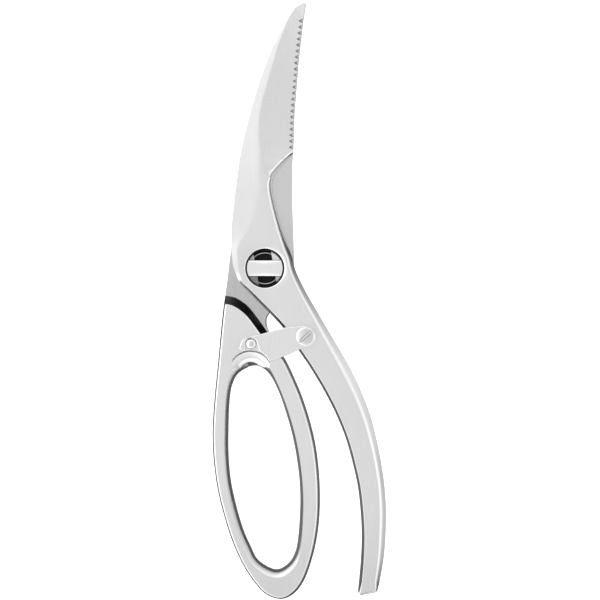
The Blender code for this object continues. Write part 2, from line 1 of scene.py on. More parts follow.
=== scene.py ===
"""Poultry shears: the visual model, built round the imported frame.

Lengths inside the classes are millimetres, and meshes are written in metres.
+Z points out of the front face, +Y to the blade tips and +X to the open handle.
"""

from __future__ import annotations

import logging
import math
from collections.abc import Iterable, Sequence
from dataclasses import dataclass
from enum import Enum

import bmesh
import bpy
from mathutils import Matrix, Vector

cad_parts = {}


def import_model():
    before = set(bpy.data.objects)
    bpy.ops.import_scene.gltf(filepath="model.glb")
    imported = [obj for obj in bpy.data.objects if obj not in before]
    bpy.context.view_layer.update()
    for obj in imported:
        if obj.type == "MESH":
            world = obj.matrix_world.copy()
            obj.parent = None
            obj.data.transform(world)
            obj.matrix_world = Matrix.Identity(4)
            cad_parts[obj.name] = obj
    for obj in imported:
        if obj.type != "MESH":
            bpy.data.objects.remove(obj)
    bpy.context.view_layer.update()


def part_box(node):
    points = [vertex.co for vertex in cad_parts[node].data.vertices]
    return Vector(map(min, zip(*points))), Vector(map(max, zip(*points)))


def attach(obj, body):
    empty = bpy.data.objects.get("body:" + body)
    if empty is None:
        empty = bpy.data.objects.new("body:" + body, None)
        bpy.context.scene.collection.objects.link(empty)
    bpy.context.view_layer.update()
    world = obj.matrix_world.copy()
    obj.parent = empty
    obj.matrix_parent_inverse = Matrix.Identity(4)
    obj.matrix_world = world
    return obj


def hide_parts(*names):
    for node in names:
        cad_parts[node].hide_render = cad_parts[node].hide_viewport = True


MM = 0.001
GAP = 0.3  # between pieces that don't touch
MERGE = 0.0005  # points this close are one
SLIVER = 8e-6  # in metres: edges this short are left over from a cut
FRONT_LAP = 4.5  # how thick the front half is over the lap
HEAD_THICKNESS = 1.7
EDGE_LEFT = 0.9  # how thick a half is left at its cutting edge
CUP_WALL = 0.6
THREAD_RADIUS = 1.5
THREAD_LENGTH = 5.5
log = logging.getLogger("poultry_shears")

Point = tuple[float, ...]


# ---------------------------------------------------------------- curves


def smooth(points: Sequence[Point], step: float, closed: bool = False) -> list[Point]:
    """Points about a step apart on a smooth curve through the given ones.

    Args:
        points: The curve's own points, x and y first, then any values that go with them.
        step: The distance between the points that are made.
        closed: Whether the curve returns to its start.

    Returns:
        The points on the curve, each with as many values as the given ones.
    """
    count = len(points)
    made: list[Point] = []
    for index in range(count if closed else count - 1):
        near = [index - 1, index, index + 1, index + 2]
        places = [i % count if closed else min(max(i, 0), count - 1) for i in near]
        four = [points[i] for i in places]
        pieces = max(1, round(math.dist(four[1][:2], four[2][:2]) / step))
        for piece in range(pieces):
            t = piece / pieces
            share = (-t + 2 * t**2 - t**3, 2 - 5 * t**2 + 3 * t**3, t + 4 * t**2 - 3 * t**3, t**3 - t**2)
            made.append(tuple(sum(s * value for s, value in zip(share, values)) / 2 for values in zip(*four)))
    return made if closed else [*made, tuple(points[-1])]


def arc(x: float, y: float, radius: float, first: float, last: float, pieces: int) -> list[Point]:
    """Points on an arc, from one angle to another in degrees."""
    turns = [math.radians(first + (last - first) * piece / pieces) for piece in range(pieces + 1)]
    return [(x + radius * math.cos(turn), y + radius * math.sin(turn)) for turn in turns]


def ramp(value: float, start: float, end: float) -> float:
    """0 before start, 1 after end and smooth between them."""
    share = min(max((value - start) / (end - start), 0.0), 1.0)
    return share * share * (3 - 2 * share)


# ---------------------------------------------------------------- meshes


def link(name: str, mesh: bpy.types.Mesh) -> bpy.types.Object:
    """An object for the mesh, in the scene.

    Args:
        name: The object's name.
        mesh: Its mesh.

    Returns:
        The object.
    """
    made = bpy.data.objects.new(name, mesh)
    bpy.context.scene.collection.objects.link(made)
    return made


def from_bmesh(name: str, work: bmesh.types.BMesh) -> bpy.types.Object:
    """Writes a bmesh in millimetres as an object in metres, with its faces pointing outwards.

    Args:
        name: The object's name.
        work: The closed shape, which is freed.

    Returns:
        The object.
    """
    bmesh.ops.remove_doubles(work, verts=work.verts, dist=MERGE)
    bmesh.ops.recalc_face_normals(work, faces=work.faces)
    bmesh.ops.scale(work, vec=(MM, MM, MM), verts=work.verts)
    mesh = bpy.data.meshes.new(name)
    work.to_mesh(mesh)
    work.free()
    return link(name, mesh)


def skin(work: bmesh.types.BMesh, rings: Sequence[Sequence[Point]], closed: bool) -> None:
    """Joins rings of points with faces, and caps the two ends of an open run.

    Args:
        work: What the faces are added to.
        rings: The rings, each with as many points as the others.
        closed: Whether the last ring joins the first.
    """
    made = [[work.verts.new(point) for point in ring] for ring in rings]
    pairs = list(zip(made, made[1:])) + ([(made[-1], made[0])] if closed else [])
    for first, second in pairs:
        for side in range(len(first)):
            after = (side + 1) % len(first)
            work.faces.new((first[side], first[after], second[after], second[side]))
    if not closed:
        work.faces.new(made[0])
        work.faces.new(made[-1])


def lofted(name: str, rings: Sequence[Sequence[Point]], closed: bool = False,
           split: bool = False) -> bpy.types.Object:
    """A solid through rings of points.

    Args:
        name: The object's name.
        rings: The rings, each with as many points as the others.
        closed: Whether the last ring joins the first.
        split: Whether its faces are split into triangles.

    Returns:
        The closed object.
    """
    work = bmesh.new()
    skin(work, rings, closed)
    if split:
        bmesh.ops.triangulate(work, faces=work.faces)
    return from_bmesh(name, work)


def turned(name: str, profile: Sequence[Point], x: float = 0.0, y: float = 0.0,
           sides: int = 64) -> bpy.types.Object:
    """A piece turned on a lathe.

    Args:
        name: The object's name.
        profile: (radius, height) points in millimetres, closed on themselves or on the axis.
        x: Where the axis stands.
        y: Where the axis stands.
        sides: How many sides the round has.

    Returns:
        The closed object.
    """
    work = bmesh.new()
    rings = []
    for side in range(sides):
        turn = 2 * math.pi * side / sides
        rings.append([(x + r * math.cos(turn), y + r * math.sin(turn), z) for r, z in profile])
    skin(work, rings, True)
    bmesh.ops.remove_doubles(work, verts=work.verts, dist=MERGE)
    loose = [edge for edge in work.edges if not edge.link_faces]
    bmesh.ops.delete(work, geom=loose, context="EDGES")
    return from_bmesh(name, work)


def block(name: str, size: Point, centre: Point, turn: float = 0.0) -> bpy.types.Object:
    """A box turned about +Z by an angle in degrees, for cutting with.

    Args:
        name: The object's name.
        size: Its lengths along X, Y and Z before it is turned.
        centre: Its middle.
        turn: The angle.

    Returns:
        The closed object.
    """
    work = bmesh.new()
    bmesh.ops.create_cube(work, size=1.0)
    bmesh.ops.scale(work, vec=size, verts=work.verts)
    sine, cosine = math.sin(math.radians(turn)), math.cos(math.radians(turn))
    for vertex in work.verts:
        x, y, z = vertex.co
        vertex.co = Vector((x * cosine - y * sine, x * sine + y * cosine, z))
        vertex.co += Vector(centre)
    return from_bmesh(name, work)


def sheet(name: str, outline: Sequence[Point], low: float, high: float, rim: float = 0.0) -> bpy.types.Object:
    """A flat outline made solid, with its long edges rounded.

    Args:
        name: The object's name.
        outline: (x, y) points round the piece, in either direction.
        low: The height of its rear face.
        high: The height of its front face.
        rim: The radius of the rounded edges.

    Returns:
        The closed object.
    """
    count = len(outline)
    area = sum(a[0] * b[1] - b[0] * a[1] for a, b in zip(outline, [*outline[1:], outline[0]]))
    inward = math.copysign(1.0, area)
    levels = [(rim * (1 - math.sin(t)), rim * (1 - math.cos(t))) for t in (0, 0.4, 0.8, 1.2, math.pi / 2)]
    heights = [(inset, high - drop) for inset, drop in levels] if rim else [(0.0, high)]
    heights += [(inset, low + drop) for inset, drop in reversed(levels)] if rim else [(0.0, low)]
    rings = []
    for inset, height in heights:
        ring = []
        for index, (x, y) in enumerate(outline):
            (xa, ya), (xb, yb) = outline[index - 1], outline[(index + 1) % count]
            away = Vector((-(yb - ya), xb - xa)).normalized() * inward
            ring.append((x + away.x * inset, y + away.y * inset, height))
        rings.append(ring)
    return lofted(name, rings)


def cut(made: bpy.types.Object, other: bpy.types.Object, operation: str = "DIFFERENCE") -> None:
    """Cuts or joins two closed meshes, and removes the second.

    Args:
        made: The object that is kept.
        other: The cutter or the joined piece.
        operation: The Boolean's operation.

    Raises:
        RuntimeError: The operation left no faces.
    """
    modifier = made.modifiers.new("cut", "BOOLEAN")
    modifier.object = other
    modifier.operation = operation
    apply_all(made)
    if not made.data.polygons:
        raise RuntimeError(f"{other.name} left nothing of {made.name}")
    bpy.data.objects.remove(other)


def apply_all(made: bpy.types.Object) -> None:
    """Turns the modified shape of an object into its plain mesh.

    Args:
        made: The object, which loses its modifiers.
    """
    bpy.context.view_layer.update()
    graph = bpy.context.evaluated_depsgraph_get()
    mesh = bpy.data.meshes.new_from_object(made.evaluated_get(graph))
    made.modifiers.clear()
    made.data = mesh


def settle(made: bpy.types.Object) -> None:
    """Drops the faces without an area that fine cuts leave behind.

    Args:
        made: The closed mesh.
    """
    work = bmesh.new()
    work.from_mesh(made.data)
    many = [face for face in work.faces if len(face.verts) > 4]
    bmesh.ops.triangulate(work, faces=many, ngon_method="BEAUTY")
    bmesh.ops.dissolve_degenerate(work, dist=SLIVER, edges=work.edges)
    work.to_mesh(made.data)
    work.free()


def shade(made: bpy.types.Object, angle: float = 28.0) -> None:
    """Shades an object smooth, but for edges sharper than an angle in degrees.

    Args:
        made: The object.
        angle: The angle.
    """
    made.data.shade_smooth()
    made.data.set_sharp_from_angle(angle=math.radians(angle))
    weighted = made.modifiers.new("weighted", "WEIGHTED_NORMAL")
    weighted.keep_sharp = True
    weighted.weight = 80
    apply_all(made)


def dress(made: bpy.types.Object, material: bpy.types.Material, angle: float = 28.0) -> None:
    """Shades an object and gives all of it one material.

    Args:
        made: The object.
        material: Its finish.
        angle: Edges sharper than this, in degrees, stay sharp.
    """
    shade(made, angle)
    made.data.materials.clear()
    made.data.materials.append(material)


# ---------------------------------------------------------------- shader maths


class Wire:
    """A value in a material, which takes Python's operators."""

    def __init__(self, tree: bpy.types.NodeTree, socket: bpy.types.NodeSocket) -> None:
        """Holds an output of a node in the tree."""
        self.tree = tree
        self.socket = socket

    def maths(self, operation: str, *values: Wire | float, clamp: bool = False) -> Wire:
        """One Math node, whose first value is this one.

        Args:
            operation: The node's operation.
            *values: Its other values.
            clamp: Whether the result stays between 0 and 1.

        Returns:
            The result.
        """
        node = self.tree.nodes.new("ShaderNodeMath")
        node.operation = operation
        node.use_clamp = clamp
        for index, value in enumerate((self, *values)):
            if isinstance(value, Wire):
                self.tree.links.new(value.socket, node.inputs[index])
            else:
                node.inputs[index].default_value = value
        return Wire(self.tree, node.outputs[0])

    def __add__(self, other: Wire | float) -> Wire:
        """This plus another."""
        return self.maths("ADD", other)

    __radd__ = __add__

    def __mul__(self, other: Wire | float) -> Wire:
        """This times another."""
        return self.maths("MULTIPLY", other)

    __rmul__ = __mul__

    def __sub__(self, other: Wire | float) -> Wire:
        """This less another."""
        return self.maths("SUBTRACT", other)

    def __rsub__(self, other: float) -> Wire:
        """A number less this."""
        return self.maths("MULTIPLY", -1.0).maths("ADD", other)

    def between(self, low: float, high: float) -> Wire:
        """0 at low, 1 at high, and clamped outside them."""
        return self.maths("SUBTRACT", low).maths("DIVIDE", high - low, clamp=True)


class Bench:
    """One material and its nodes."""

    def __init__(self, name: str) -> None:
        """Starts a material.

        Args:
            name: The material's name.
        """
        self.material = bpy.data.materials.new(name)
        self.material.use_nodes = True
        self.tree = self.material.node_tree
        self.shader = self.tree.nodes["Principled BSDF"]

    def node(self, kind: str, settings: dict[str, object] | None = None, **inputs: object) -> bpy.types.Node:
        """Adds a node.

        Args:
            kind: The node's type.
            settings: Its own settings, which are set first.
            **inputs: Values or wires for its sockets, by name with underscores for spaces.

        Returns:
            The node.
        """
        made = self.tree.nodes.new(kind)
        for key, value in (settings or {}).items():
            setattr(made, key, value)
        for key, value in inputs.items():
            socket = made.inputs[key.replace("_", " ")]
            if isinstance(value, Wire):
                self.tree.links.new(value.socket, socket)
            else:
                socket.default_value = value
        return made

    def wire(self, node: bpy.types.Node, output: str | int = 0) -> Wire:
        """One of a node's outputs."""
        return Wire(self.tree, node.outputs[output])

    def place(self, stretch: Point = (1.0, 1.0, 1.0), turn: float = 0.0) -> Wire:
        """The object's own coordinates, turned about +Z and stretched.

        Args:
            stretch: How much each axis is multiplied.
            turn: The angle in degrees.

        Returns:
            The coordinates.
        """
        coordinates = self.wire(self.node("ShaderNodeTexCoord"), "Object")
        turned_by = (0.0, 0.0, math.radians(turn))
        mapping = self.node("ShaderNodeMapping", Vector=coordinates, Scale=stretch, Rotation=turned_by)
        return self.wire(mapping)

    def noise(self, place: Wire, scale: float, detail: float = 3.0) -> Wire:
        """Soft noise from 0 to 1."""
        return self.wire(self.node("ShaderNodeTexNoise", Vector=place, Scale=scale, Detail=detail), "Fac")

    def tint(self, share: Wire, dark: float, light: float) -> Wire:
        """A grey between two others.

        Args:
            share: 0 for the dark one and 1 for the light one.
            dark: The darker grey.
            light: The lighter grey.

        Returns:
            The colour.
        """
        mix = self.tree.nodes.new("ShaderNodeMix")
        mix.data_type = "RGBA"
        factor, first, second = (next(s for s in mix.inputs if s.identifier == key)
                                 for key in ("Factor_Float", "A_Color", "B_Color"))
        self.tree.links.new(share.socket, factor)
        first.default_value = (dark, dark, dark, 1.0)
        second.default_value = (light, light, light, 1.0)
        return Wire(self.tree, next(s for s in mix.outputs if s.identifier == "Result_Color"))

    def blend(self, share: Wire, first: Wire, second: Wire) -> Wire:
        """A colour that goes from the first to the second.

        Args:
            share: 0 for the first and 1 for the second.
            first: A colour.
            second: Another colour.

        Returns:
            The colour.
        """
        mix = self.tree.nodes.new("ShaderNodeMix")
        mix.data_type = "RGBA"
        for key, wire in (("Factor_Float", share), ("A_Color", first), ("B_Color", second)):
            self.tree.links.new(wire.socket, next(s for s in mix.inputs if s.identifier == key))
        return Wire(self.tree, next(s for s in mix.outputs if s.identifier == "Result_Color"))

    def bump(self, height: Wire, strength: float, distance: float) -> Wire:
        """A normal that follows a height."""
        return self.wire(self.node("ShaderNodeBump", Strength=strength, Distance=distance, Height=height))

    def feed(self, **sockets: Wire | float | Point) -> None:
        """Sets the shader's sockets, by name with underscores for spaces.

        Args:
            **sockets: A wire or a value for each.
        """
        for key, value in sockets.items():
            socket = self.shader.inputs[key.replace("_", " ")]
            if isinstance(value, Wire):
                self.tree.links.new(value.socket, socket)
            else:
                socket.default_value = value


# ---------------------------------------------------------------- finishes


@dataclass(frozen=True)
class Steel:
    """Stainless steel, ground along one direction and then polished more or less.

    Attributes:
        name: The material's name.
        tone: How light the steel is.
        roughness: How dull it is.
        grain: How much the grinding lines vary the tone.
        grain_turn: The lines' direction, as an angle from +Y.
        relief: How deep the lines are.
        mottle: How much the clouds vary the tone.
        lap: How light the lap below the front half is against the rest, or 1 where there is none: partly its ground
            finish and partly painted shade.
        painted_shade: How light the painted shade is against the rest, or 1 where there is none.
        step: How strongly the wall of the lap's step takes the painted shade, from 0 to 1.
    """

    name: str
    tone: float
    roughness: float
    grain: float = 0.02
    grain_turn: float = 0.0
    relief: float = 0.15
    mottle: float = 0.015
    lap: float = 1.0
    painted_shade: float = 1.0
    step: float = 0.0

    def zones(self, bench: Bench) -> tuple[Wire, Wire]:
        """Masks of the lap and of the painted shade on the forging.

        Args:
            bench: The material being made.

        Returns:
            The mask of the lap below the front half, partly its ground finish and partly painted shade, and the mask
            of
            painted shade: on the recess floor round the pivot, darkest to the lower left, in the corner at the foot
                of the
            recess wall, on the wall of the lap's step and, faintly, darker towards the far ends of the handles.
        """
        split = bench.node("ShaderNodeSeparateXYZ", Vector=bench.place())
        x, y, z = (bench.wire(split, axis) for axis in "XYZ")
        above = y.between(-31 * MM, -29 * MM)
        # Lap below the front half: partly its ground finish and partly painted shade, full at the neck and about half
        # as strong along the blade.
        lap = z.between(4.7 * MM, 4.5 * MM) * above * (1.0 - y.between(-8 * MM, 24 * MM) * 0.45)
        radius = (x * x + y * y).maths("POWER", 0.5)
        inside = radius.between(8.1 * MM, 7.9 * MM)
        # Painted shade on the recess floor round the pivot, darkest to the lower left and fading towards the upper
        # right.
        floor = inside * z.between(7.3 * MM, 7.2 * MM) * (x + y).between(9 * MM, -6 * MM) * 0.75
        # Painted shade in the corner at the foot of the recess wall, round the bar's ends.
        wall = inside * radius.between(6.7 * MM, 7.1 * MM) * z.between(8.7 * MM, 8.5 * MM)
        # Painted shade in the groove of the lap's step, weaker towards the left.
        lean = x.between(-24 * MM, -12 * MM) * 0.35 + 0.65
        step = z.between(4.55 * MM, 4.7 * MM) * z.between(8.8 * MM, 8.6 * MM) * above * lean * self.step
        # Faintly darker towards the far ends of the handles.
        ends = y.between(-85 * MM, -125 * MM) * 0.1
        return lap, floor.maths("MAXIMUM", wall).maths("MAXIMUM", step).maths("MAXIMUM", ends)

    def material(self) -> bpy.types.Material:
        """The finish's material, with grinding lines, faint clouds, tiny scratches and, where set, the lap's tint and
        painted shade.

        Returns:
            The material.
        """
        bench = Bench(self.name)
        clouds = bench.noise(bench.place(), 55.0, 4.0)
        lines = bench.noise(bench.place((30.0, 1.0, 30.0), self.grain_turn), 90.0, 4.0)
        scratches = bench.noise(bench.place((1.0, 24.0, 1.0), 27.0), 70.0, 2.0).between(0.62, 0.78)
        spread = self.mottle + self.grain
        share = (clouds * self.mottle + lines * self.grain) * (1 / spread)
        color = bench.tint(share.between(0.2, 0.8), self.tone - spread, self.tone + spread)
        relief = lines * 0.7 + scratches * 0.3
        if self.lap < 1 or self.painted_shade < 1:
            lap, painted_shade = self.zones(bench)
            coarse = bench.noise(bench.place((60.0, 1.0, 60.0)), 60.0, 3.0).between(0.25, 0.75)
            # The lap's tint: partly its ground finish and partly painted shade.
            low = self.tone * self.lap
            color = bench.blend(lap, color, bench.tint(coarse, low - 0.035, low + 0.035))
            # Painted shade: a darker tone wherever the mask of shaded places reaches.
            dark = self.tone * self.painted_shade
            color = bench.blend(painted_shade, color, bench.tint(clouds, dark * 0.8, dark * 1.2))
            relief = relief + coarse * lap
        bench.feed(
            Base_Color=color,
            Roughness=lines * self.grain + clouds * 0.06 + scratches * 0.03 + (self.roughness - 0.03),
            Normal=bench.bump(relief, self.relief, 0.00002),
            Metallic=1.0,
        )
        return bench.material


@dataclass(frozen=True)
class Plastic:
    """Matt black bearing plastic with a fine moulded grain."""

    name: str = "black_plastic"
    tone: float = 0.008

    def material(self) -> bpy.types.Material:
        """The finish's material.

        Returns:
            The material.
        """
        bench = Bench(self.name)
        grain = bench.noise(bench.place(), 900.0, 2.0)
        bench.feed(
            Base_Color=bench.tint(grain, self.tone * 0.7, self.tone * 1.3),
            Roughness=grain * 0.15 + 0.5,
            Specular_IOR_Level=0.25,
            Normal=bench.bump(grain, 0.2, 0.00002),
        )
        return bench.material


class Finish(Enum):
    """The object's finishes, named as the record's slots are."""

    # Both halves carry painted shade in their pivot recess; the rear half also on its lap and on the wall of its
    # step.
    OPEN_HALF = Steel("satin_steel_front", 0.735, 0.27, painted_shade=0.06)
    RING_HALF = Steel("satin_steel_rear", 0.735, 0.27, lap=0.7, painted_shade=0.03, step=1.0)
    BRUSHED = Steel("brushed_steel", 0.75, 0.26, grain=0.03, grain_turn=78.0)
    BAR = Steel("bar_steel", 0.8, 0.24)
    POLISHED = Steel("polished_steel", 0.68, 0.1, grain=0.01)
    SPRING = Steel("spring_steel", 0.42, 0.3)
    BLACK = Plastic()


class Wardrobe:
    """Makes each finish's material once."""

    def __init__(self) -> None:
        """Starts without any material."""
        self.made: dict[Finish, bpy.types.Material] = {}

    def __getitem__(self, finish: Finish) -> bpy.types.Material:
        """The finish's material.

        Args:
            finish: One of the finishes.

        Returns:
            The material.
        """
        if finish not in self.made:
            self.made[finish] = finish.value.material()
        return self.made[finish]


# ---------------------------------------------------------------- outlines


BLADE_ROOT = 10.0
BLADE_THINNING = 2.2

Station = tuple[float, float, float, float, float]


class Side(Enum):
    """How an edge turns from the flat face to the side, as (inset, fall) shares in steps."""

    ROUND = tuple((1 - math.sin(math.pi * k / 14), 1 - math.cos(math.pi * k / 14)) for k in range(8))
    BEVEL = ((1.0, 0.0), (0.86, 0.03), (0.72, 0.1), (0.58, 0.21), (0.45, 0.36), (0.22, 0.65), (0.0, 0.93),
             (0.0, 1.0))
    FACET = ((1.0, 0.0), (0.91, 0.03), (0.82, 0.11), (0.62, 0.33), (0.42, 0.55), (0.22, 0.77), (0.03, 0.97),
             (0.0, 1.0))


def edged(points: Iterable[Point], width: float, fall: float, bevel: float = 0.0) -> list[Station]:
    """The same rounded edge along a run of (x, y) points."""
    return [(x, y, width, fall, bevel) for x, y in points]


def along(stations: Iterable[Point], root: float, reach: float) -> list[Point]:
    """Stations whose first value is a share of a stretch, with Y in its place, as (x, y, ...) points."""
    return [(x, root + share * (reach - root), *rest) for share, x, *rest in stations]


def thinned(y: float, reach: float) -> float:
    """How much a blade has lost in thickness at a height along it."""
    return BLADE_THINNING * max(y - BLADE_ROOT, 0.0) / (reach - BLADE_ROOT)


@dataclass
class Forging:
    """A flat forging with rounded or bevelled edges, whose blade thins towards its tip.

    Attributes:
        name: The object's name.
        outline: Points with the width and fall of the edge there, and its kind: 1 is a bevel, 0 is round
            and -1 is a flat facet.
        high: The height of the front face.
        reach: Where the blade's tip is.
        front_thins: Whether the front face or the rear face comes down to the tip.
        rear_rim: The radius on the rear face's edges.
    """

    name: str
    outline: Sequence[Station]
    high: float
    reach: float
    front_thins: bool
    rear_rim: float = 0.8

    def levels(self, station: Station) -> list[tuple[float, float]]:
        """(inset, height) down one place of the edge, from the front face to the rear one.

        Args:
            station: The place on the outline.

        Returns:
            The insets and heights.
        """
        _, _, width, fall, bevel = station
        made = []
        other = Side.BEVEL if bevel > 0 else Side.FACET
        for soft, hard in zip(Side.ROUND.value, other.value):
            inset, drop = (a + abs(bevel) * (b - a) for a, b in zip(soft, hard))
            made.append((inset * width, self.high - drop * fall))
        for turn in map(math.radians, (90, 60, 30, 0)):
            made.append((self.rear_rim * (1 - math.sin(turn)), self.rear_rim * (1 - math.cos(turn))))
        return made

    def build(self) -> bpy.types.Object:
        """The closed object.

        Returns:
            The object, at the origin with its place in its mesh.
        """
        count = len(self.outline)
        following = [*self.outline[1:], self.outline[0]]
        area = sum(a[0] * b[1] - b[0] * a[1] for a, b in zip(self.outline, following))
        inward = math.copysign(1.0, area)
        columns = []
        for index, station in enumerate(self.outline):
            before, after = self.outline[index - 1], self.outline[(index + 1) % count]
            way = Vector((before[1] - after[1], after[0] - before[0])).normalized() * inward
            columns.append([(station[0] + way.x * inset, station[1] + way.y * inset, z)
                            for inset, z in self.levels(station)])
        work = bmesh.new()
        skin(work, list(zip(*columns)), False)
        bmesh.ops.bisect_plane(work, geom=[*work.verts, *work.edges, *work.faces], dist=0.0001,
                               plane_co=(0, BLADE_ROOT, 0), plane_no=(0, 1, 0))
        middle = self.high / 2
        for vertex in work.verts:
            if (vertex.co.z > middle) == self.front_thins:
                vertex.co.z += (-1 if self.front_thins else 1) * thinned(vertex.co.y, self.reach)
        return from_bmesh(self.name, work)


def grind(name: str, facet: Sequence[Point], edge: Sequence[Point], face: float, floor: float, reach: float,
          upward: bool) -> bpy.types.Object:
    """The wedge that is ground off a blade, from its facet line to its cutting edge.

    Args:
        name: The object's name.
        facet: (x, y) points on the facet line.
        edge: (x, y) points on the cutting edge, each level with one of the facet's.
        face: The height of the blade's face at its root.
        floor: The height that is left at the cutting edge.
        reach: Where the blade's tip is.
        upward: Whether the ground face is on the blade's front.

    Returns:
        The closed cutter.
    """
    sign = 1 if upward else -1
    rings = []
    for (x0, y0), (x1, _) in zip(facet, edge):
        top = face - sign * thinned(y0, reach)
        slope = (floor - top) / (x1 - x0)
        out = math.copysign(2.0, x1 - x0)
        rings.append([(x1 + out, y0, floor + out * slope), (x0 - out, y0, top - out * slope),
                      (x0 - out, y0, top - out * slope + sign * 4), (x1 + out, y0, face + sign * 4)])
    return lofted(name, rings, split=True)


# ---------------------------------------------------------------- geometry nodes


class NodeShape:
    """A Geometry Nodes tree that is run once on a mesh and leaves a plain mesh."""

    def __init__(self, name: str, inputs: dict[str, tuple[str, float]]) -> None:
        """Starts a tree.

        Args:
            name: The tree's name.
            inputs: Each named size's socket type and value.
        """
        self.tree = bpy.data.node_groups.new(name, "GeometryNodeTree")
        self.tree.interface.new_socket("Geometry", in_out="INPUT", socket_type="NodeSocketGeometry")
        self.tree.interface.new_socket("Geometry", in_out="OUTPUT", socket_type="NodeSocketGeometry")
        self.values = {name: value for name, (_, value) in inputs.items()}
        for name, (kind, value) in inputs.items():
            self.tree.interface.new_socket(name, in_out="INPUT", socket_type=kind).default_value = value
        self.start = self.tree.nodes.new("NodeGroupInput")
        self.end = self.tree.nodes.new("NodeGroupOutput")

    def node(self, kind: str, settings: dict[str, object] | None = None,
             links: dict[str | int, bpy.types.NodeSocket] | None = None,
             values: dict[str | int, object] | None = None) -> bpy.types.Node:
        """Adds a node.

        Args:
            kind: The node's type.
            settings: Its own settings, which are set first.
            links: What feeds its sockets.
            values: Plain values for its sockets.

        Returns:
            The node.
        """
        made = self.tree.nodes.new(kind)
        for key, value in (settings or {}).items():
            setattr(made, key, value)
        for key, value in (values or {}).items():
            made.inputs[key].default_value = value
        for key, socket in (links or {}).items():
            self.tree.links.new(socket, made.inputs[key])
        return made

    def size(self, name: str) -> bpy.types.NodeSocket:
        """A named input's socket."""
        return self.start.outputs[name]

    def close(self, geometry: bpy.types.NodeSocket, material: bpy.types.Material) -> None:
        """Ends the tree in Realize Instances and Set Material.

        Args:
            geometry: What the tree has made.
            material: The finish of all of it.
        """
        real = self.node("GeometryNodeRealizeInstances", links={"Geometry": geometry})
        dressed = self.node("GeometryNodeSetMaterial", links={"Geometry": real.outputs[0]})
        dressed.inputs["Material"].default_value = material
        self.tree.links.new(dressed.outputs[0], self.end.inputs[0])

    def run(self, made: bpy.types.Object) -> None:
        """Runs the tree on an object, which keeps the result as its plain mesh.

        Args:
            made: The object whose mesh feeds the tree.
        """
        modifier = made.modifiers.new("shape", "NODES")
        modifier.node_group = self.tree
        for item in self.tree.interface.items_tree:
            if item.in_out == "INPUT" and item.name in self.values:
                modifier[item.identifier] = self.values[item.name]
        apply_all(made)


def polyline(name: str, points: Sequence[Point]) -> bpy.types.Object:
    """An object whose mesh is only a line through the points.

    Args:
        name: The object's name.
        points: The points, in millimetres.

    Returns:
        The object.
    """
    mesh = bpy.data.meshes.new(name)
    mesh.from_pydata([tuple(value * MM for value in point) for point in points],
                     [(index, index + 1) for index in range(len(points) - 1)], [])
    return link(name, mesh)


# ---------------------------------------------------------------- the shears


@dataclass(frozen=True)
class Frame:
    """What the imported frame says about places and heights, in millimetres."""

    reach: float
    ring_reach: float
    handle_reach: float
    total: float
    rear_lap: float
    front_floor: float
    web_floor: float
    head_low: float
    head_high: float
    head_radius: float
    strap_low: float
    strap_high: float
    screw: tuple[float, float]
    screw_top: float
    pin: tuple[float, float]
    pin_top: float
    cup_low: float
    cup_high: float
    cup_radius: float
    nut_radius: float
    nut_high: float

    @classmethod
    def read(cls) -> Frame:
        """Reads the boxes of the CAD nodes.

        Returns:
            The places and heights.
        """
        nodes = ("open_half", "ring_half", "pivot_stud", "latch_strap", "latch_screw", "latch_pin", "bearing_cup",
                 "pivot_nut")
        boxes = ([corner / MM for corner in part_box(node)] for node in nodes)
        opened, ring, stud, strap, screw, pin, cup, nut = boxes
        total = ring[1].z
        return cls(
            reach=opened[1].y, ring_reach=-ring[0].y, handle_reach=-opened[0].y - 0.2, total=total,
            rear_lap=total - (FRONT_LAP + GAP), front_floor=total - FRONT_LAP,
            web_floor=cup[1].z + GAP, head_low=stud[1].z - HEAD_THICKNESS, head_high=stud[1].z,
            head_radius=stud[1].x,
            strap_low=strap[0].z, strap_high=strap[1].z,
            screw=((screw[0].x + screw[1].x) / 2, (screw[0].y + screw[1].y) / 2), screw_top=screw[1].z,
            pin=((pin[0].x + pin[1].x) / 2, (pin[0].y + pin[1].y) / 2), pin_top=pin[1].z,
            cup_low=cup[0].z, cup_high=cup[1].z, cup_radius=cup[1].x, nut_radius=nut[1].x, nut_high=nut[1].z)


EDGE_RUN = ((0.362, 11.0), (0.42, 11.3), (0.52, 11.6), (0.6, 12.1), (0.68, 12.8), (0.76, 13.4), (0.84, 14.3),
            (0.92, 15.2), (0.965, 15.9))


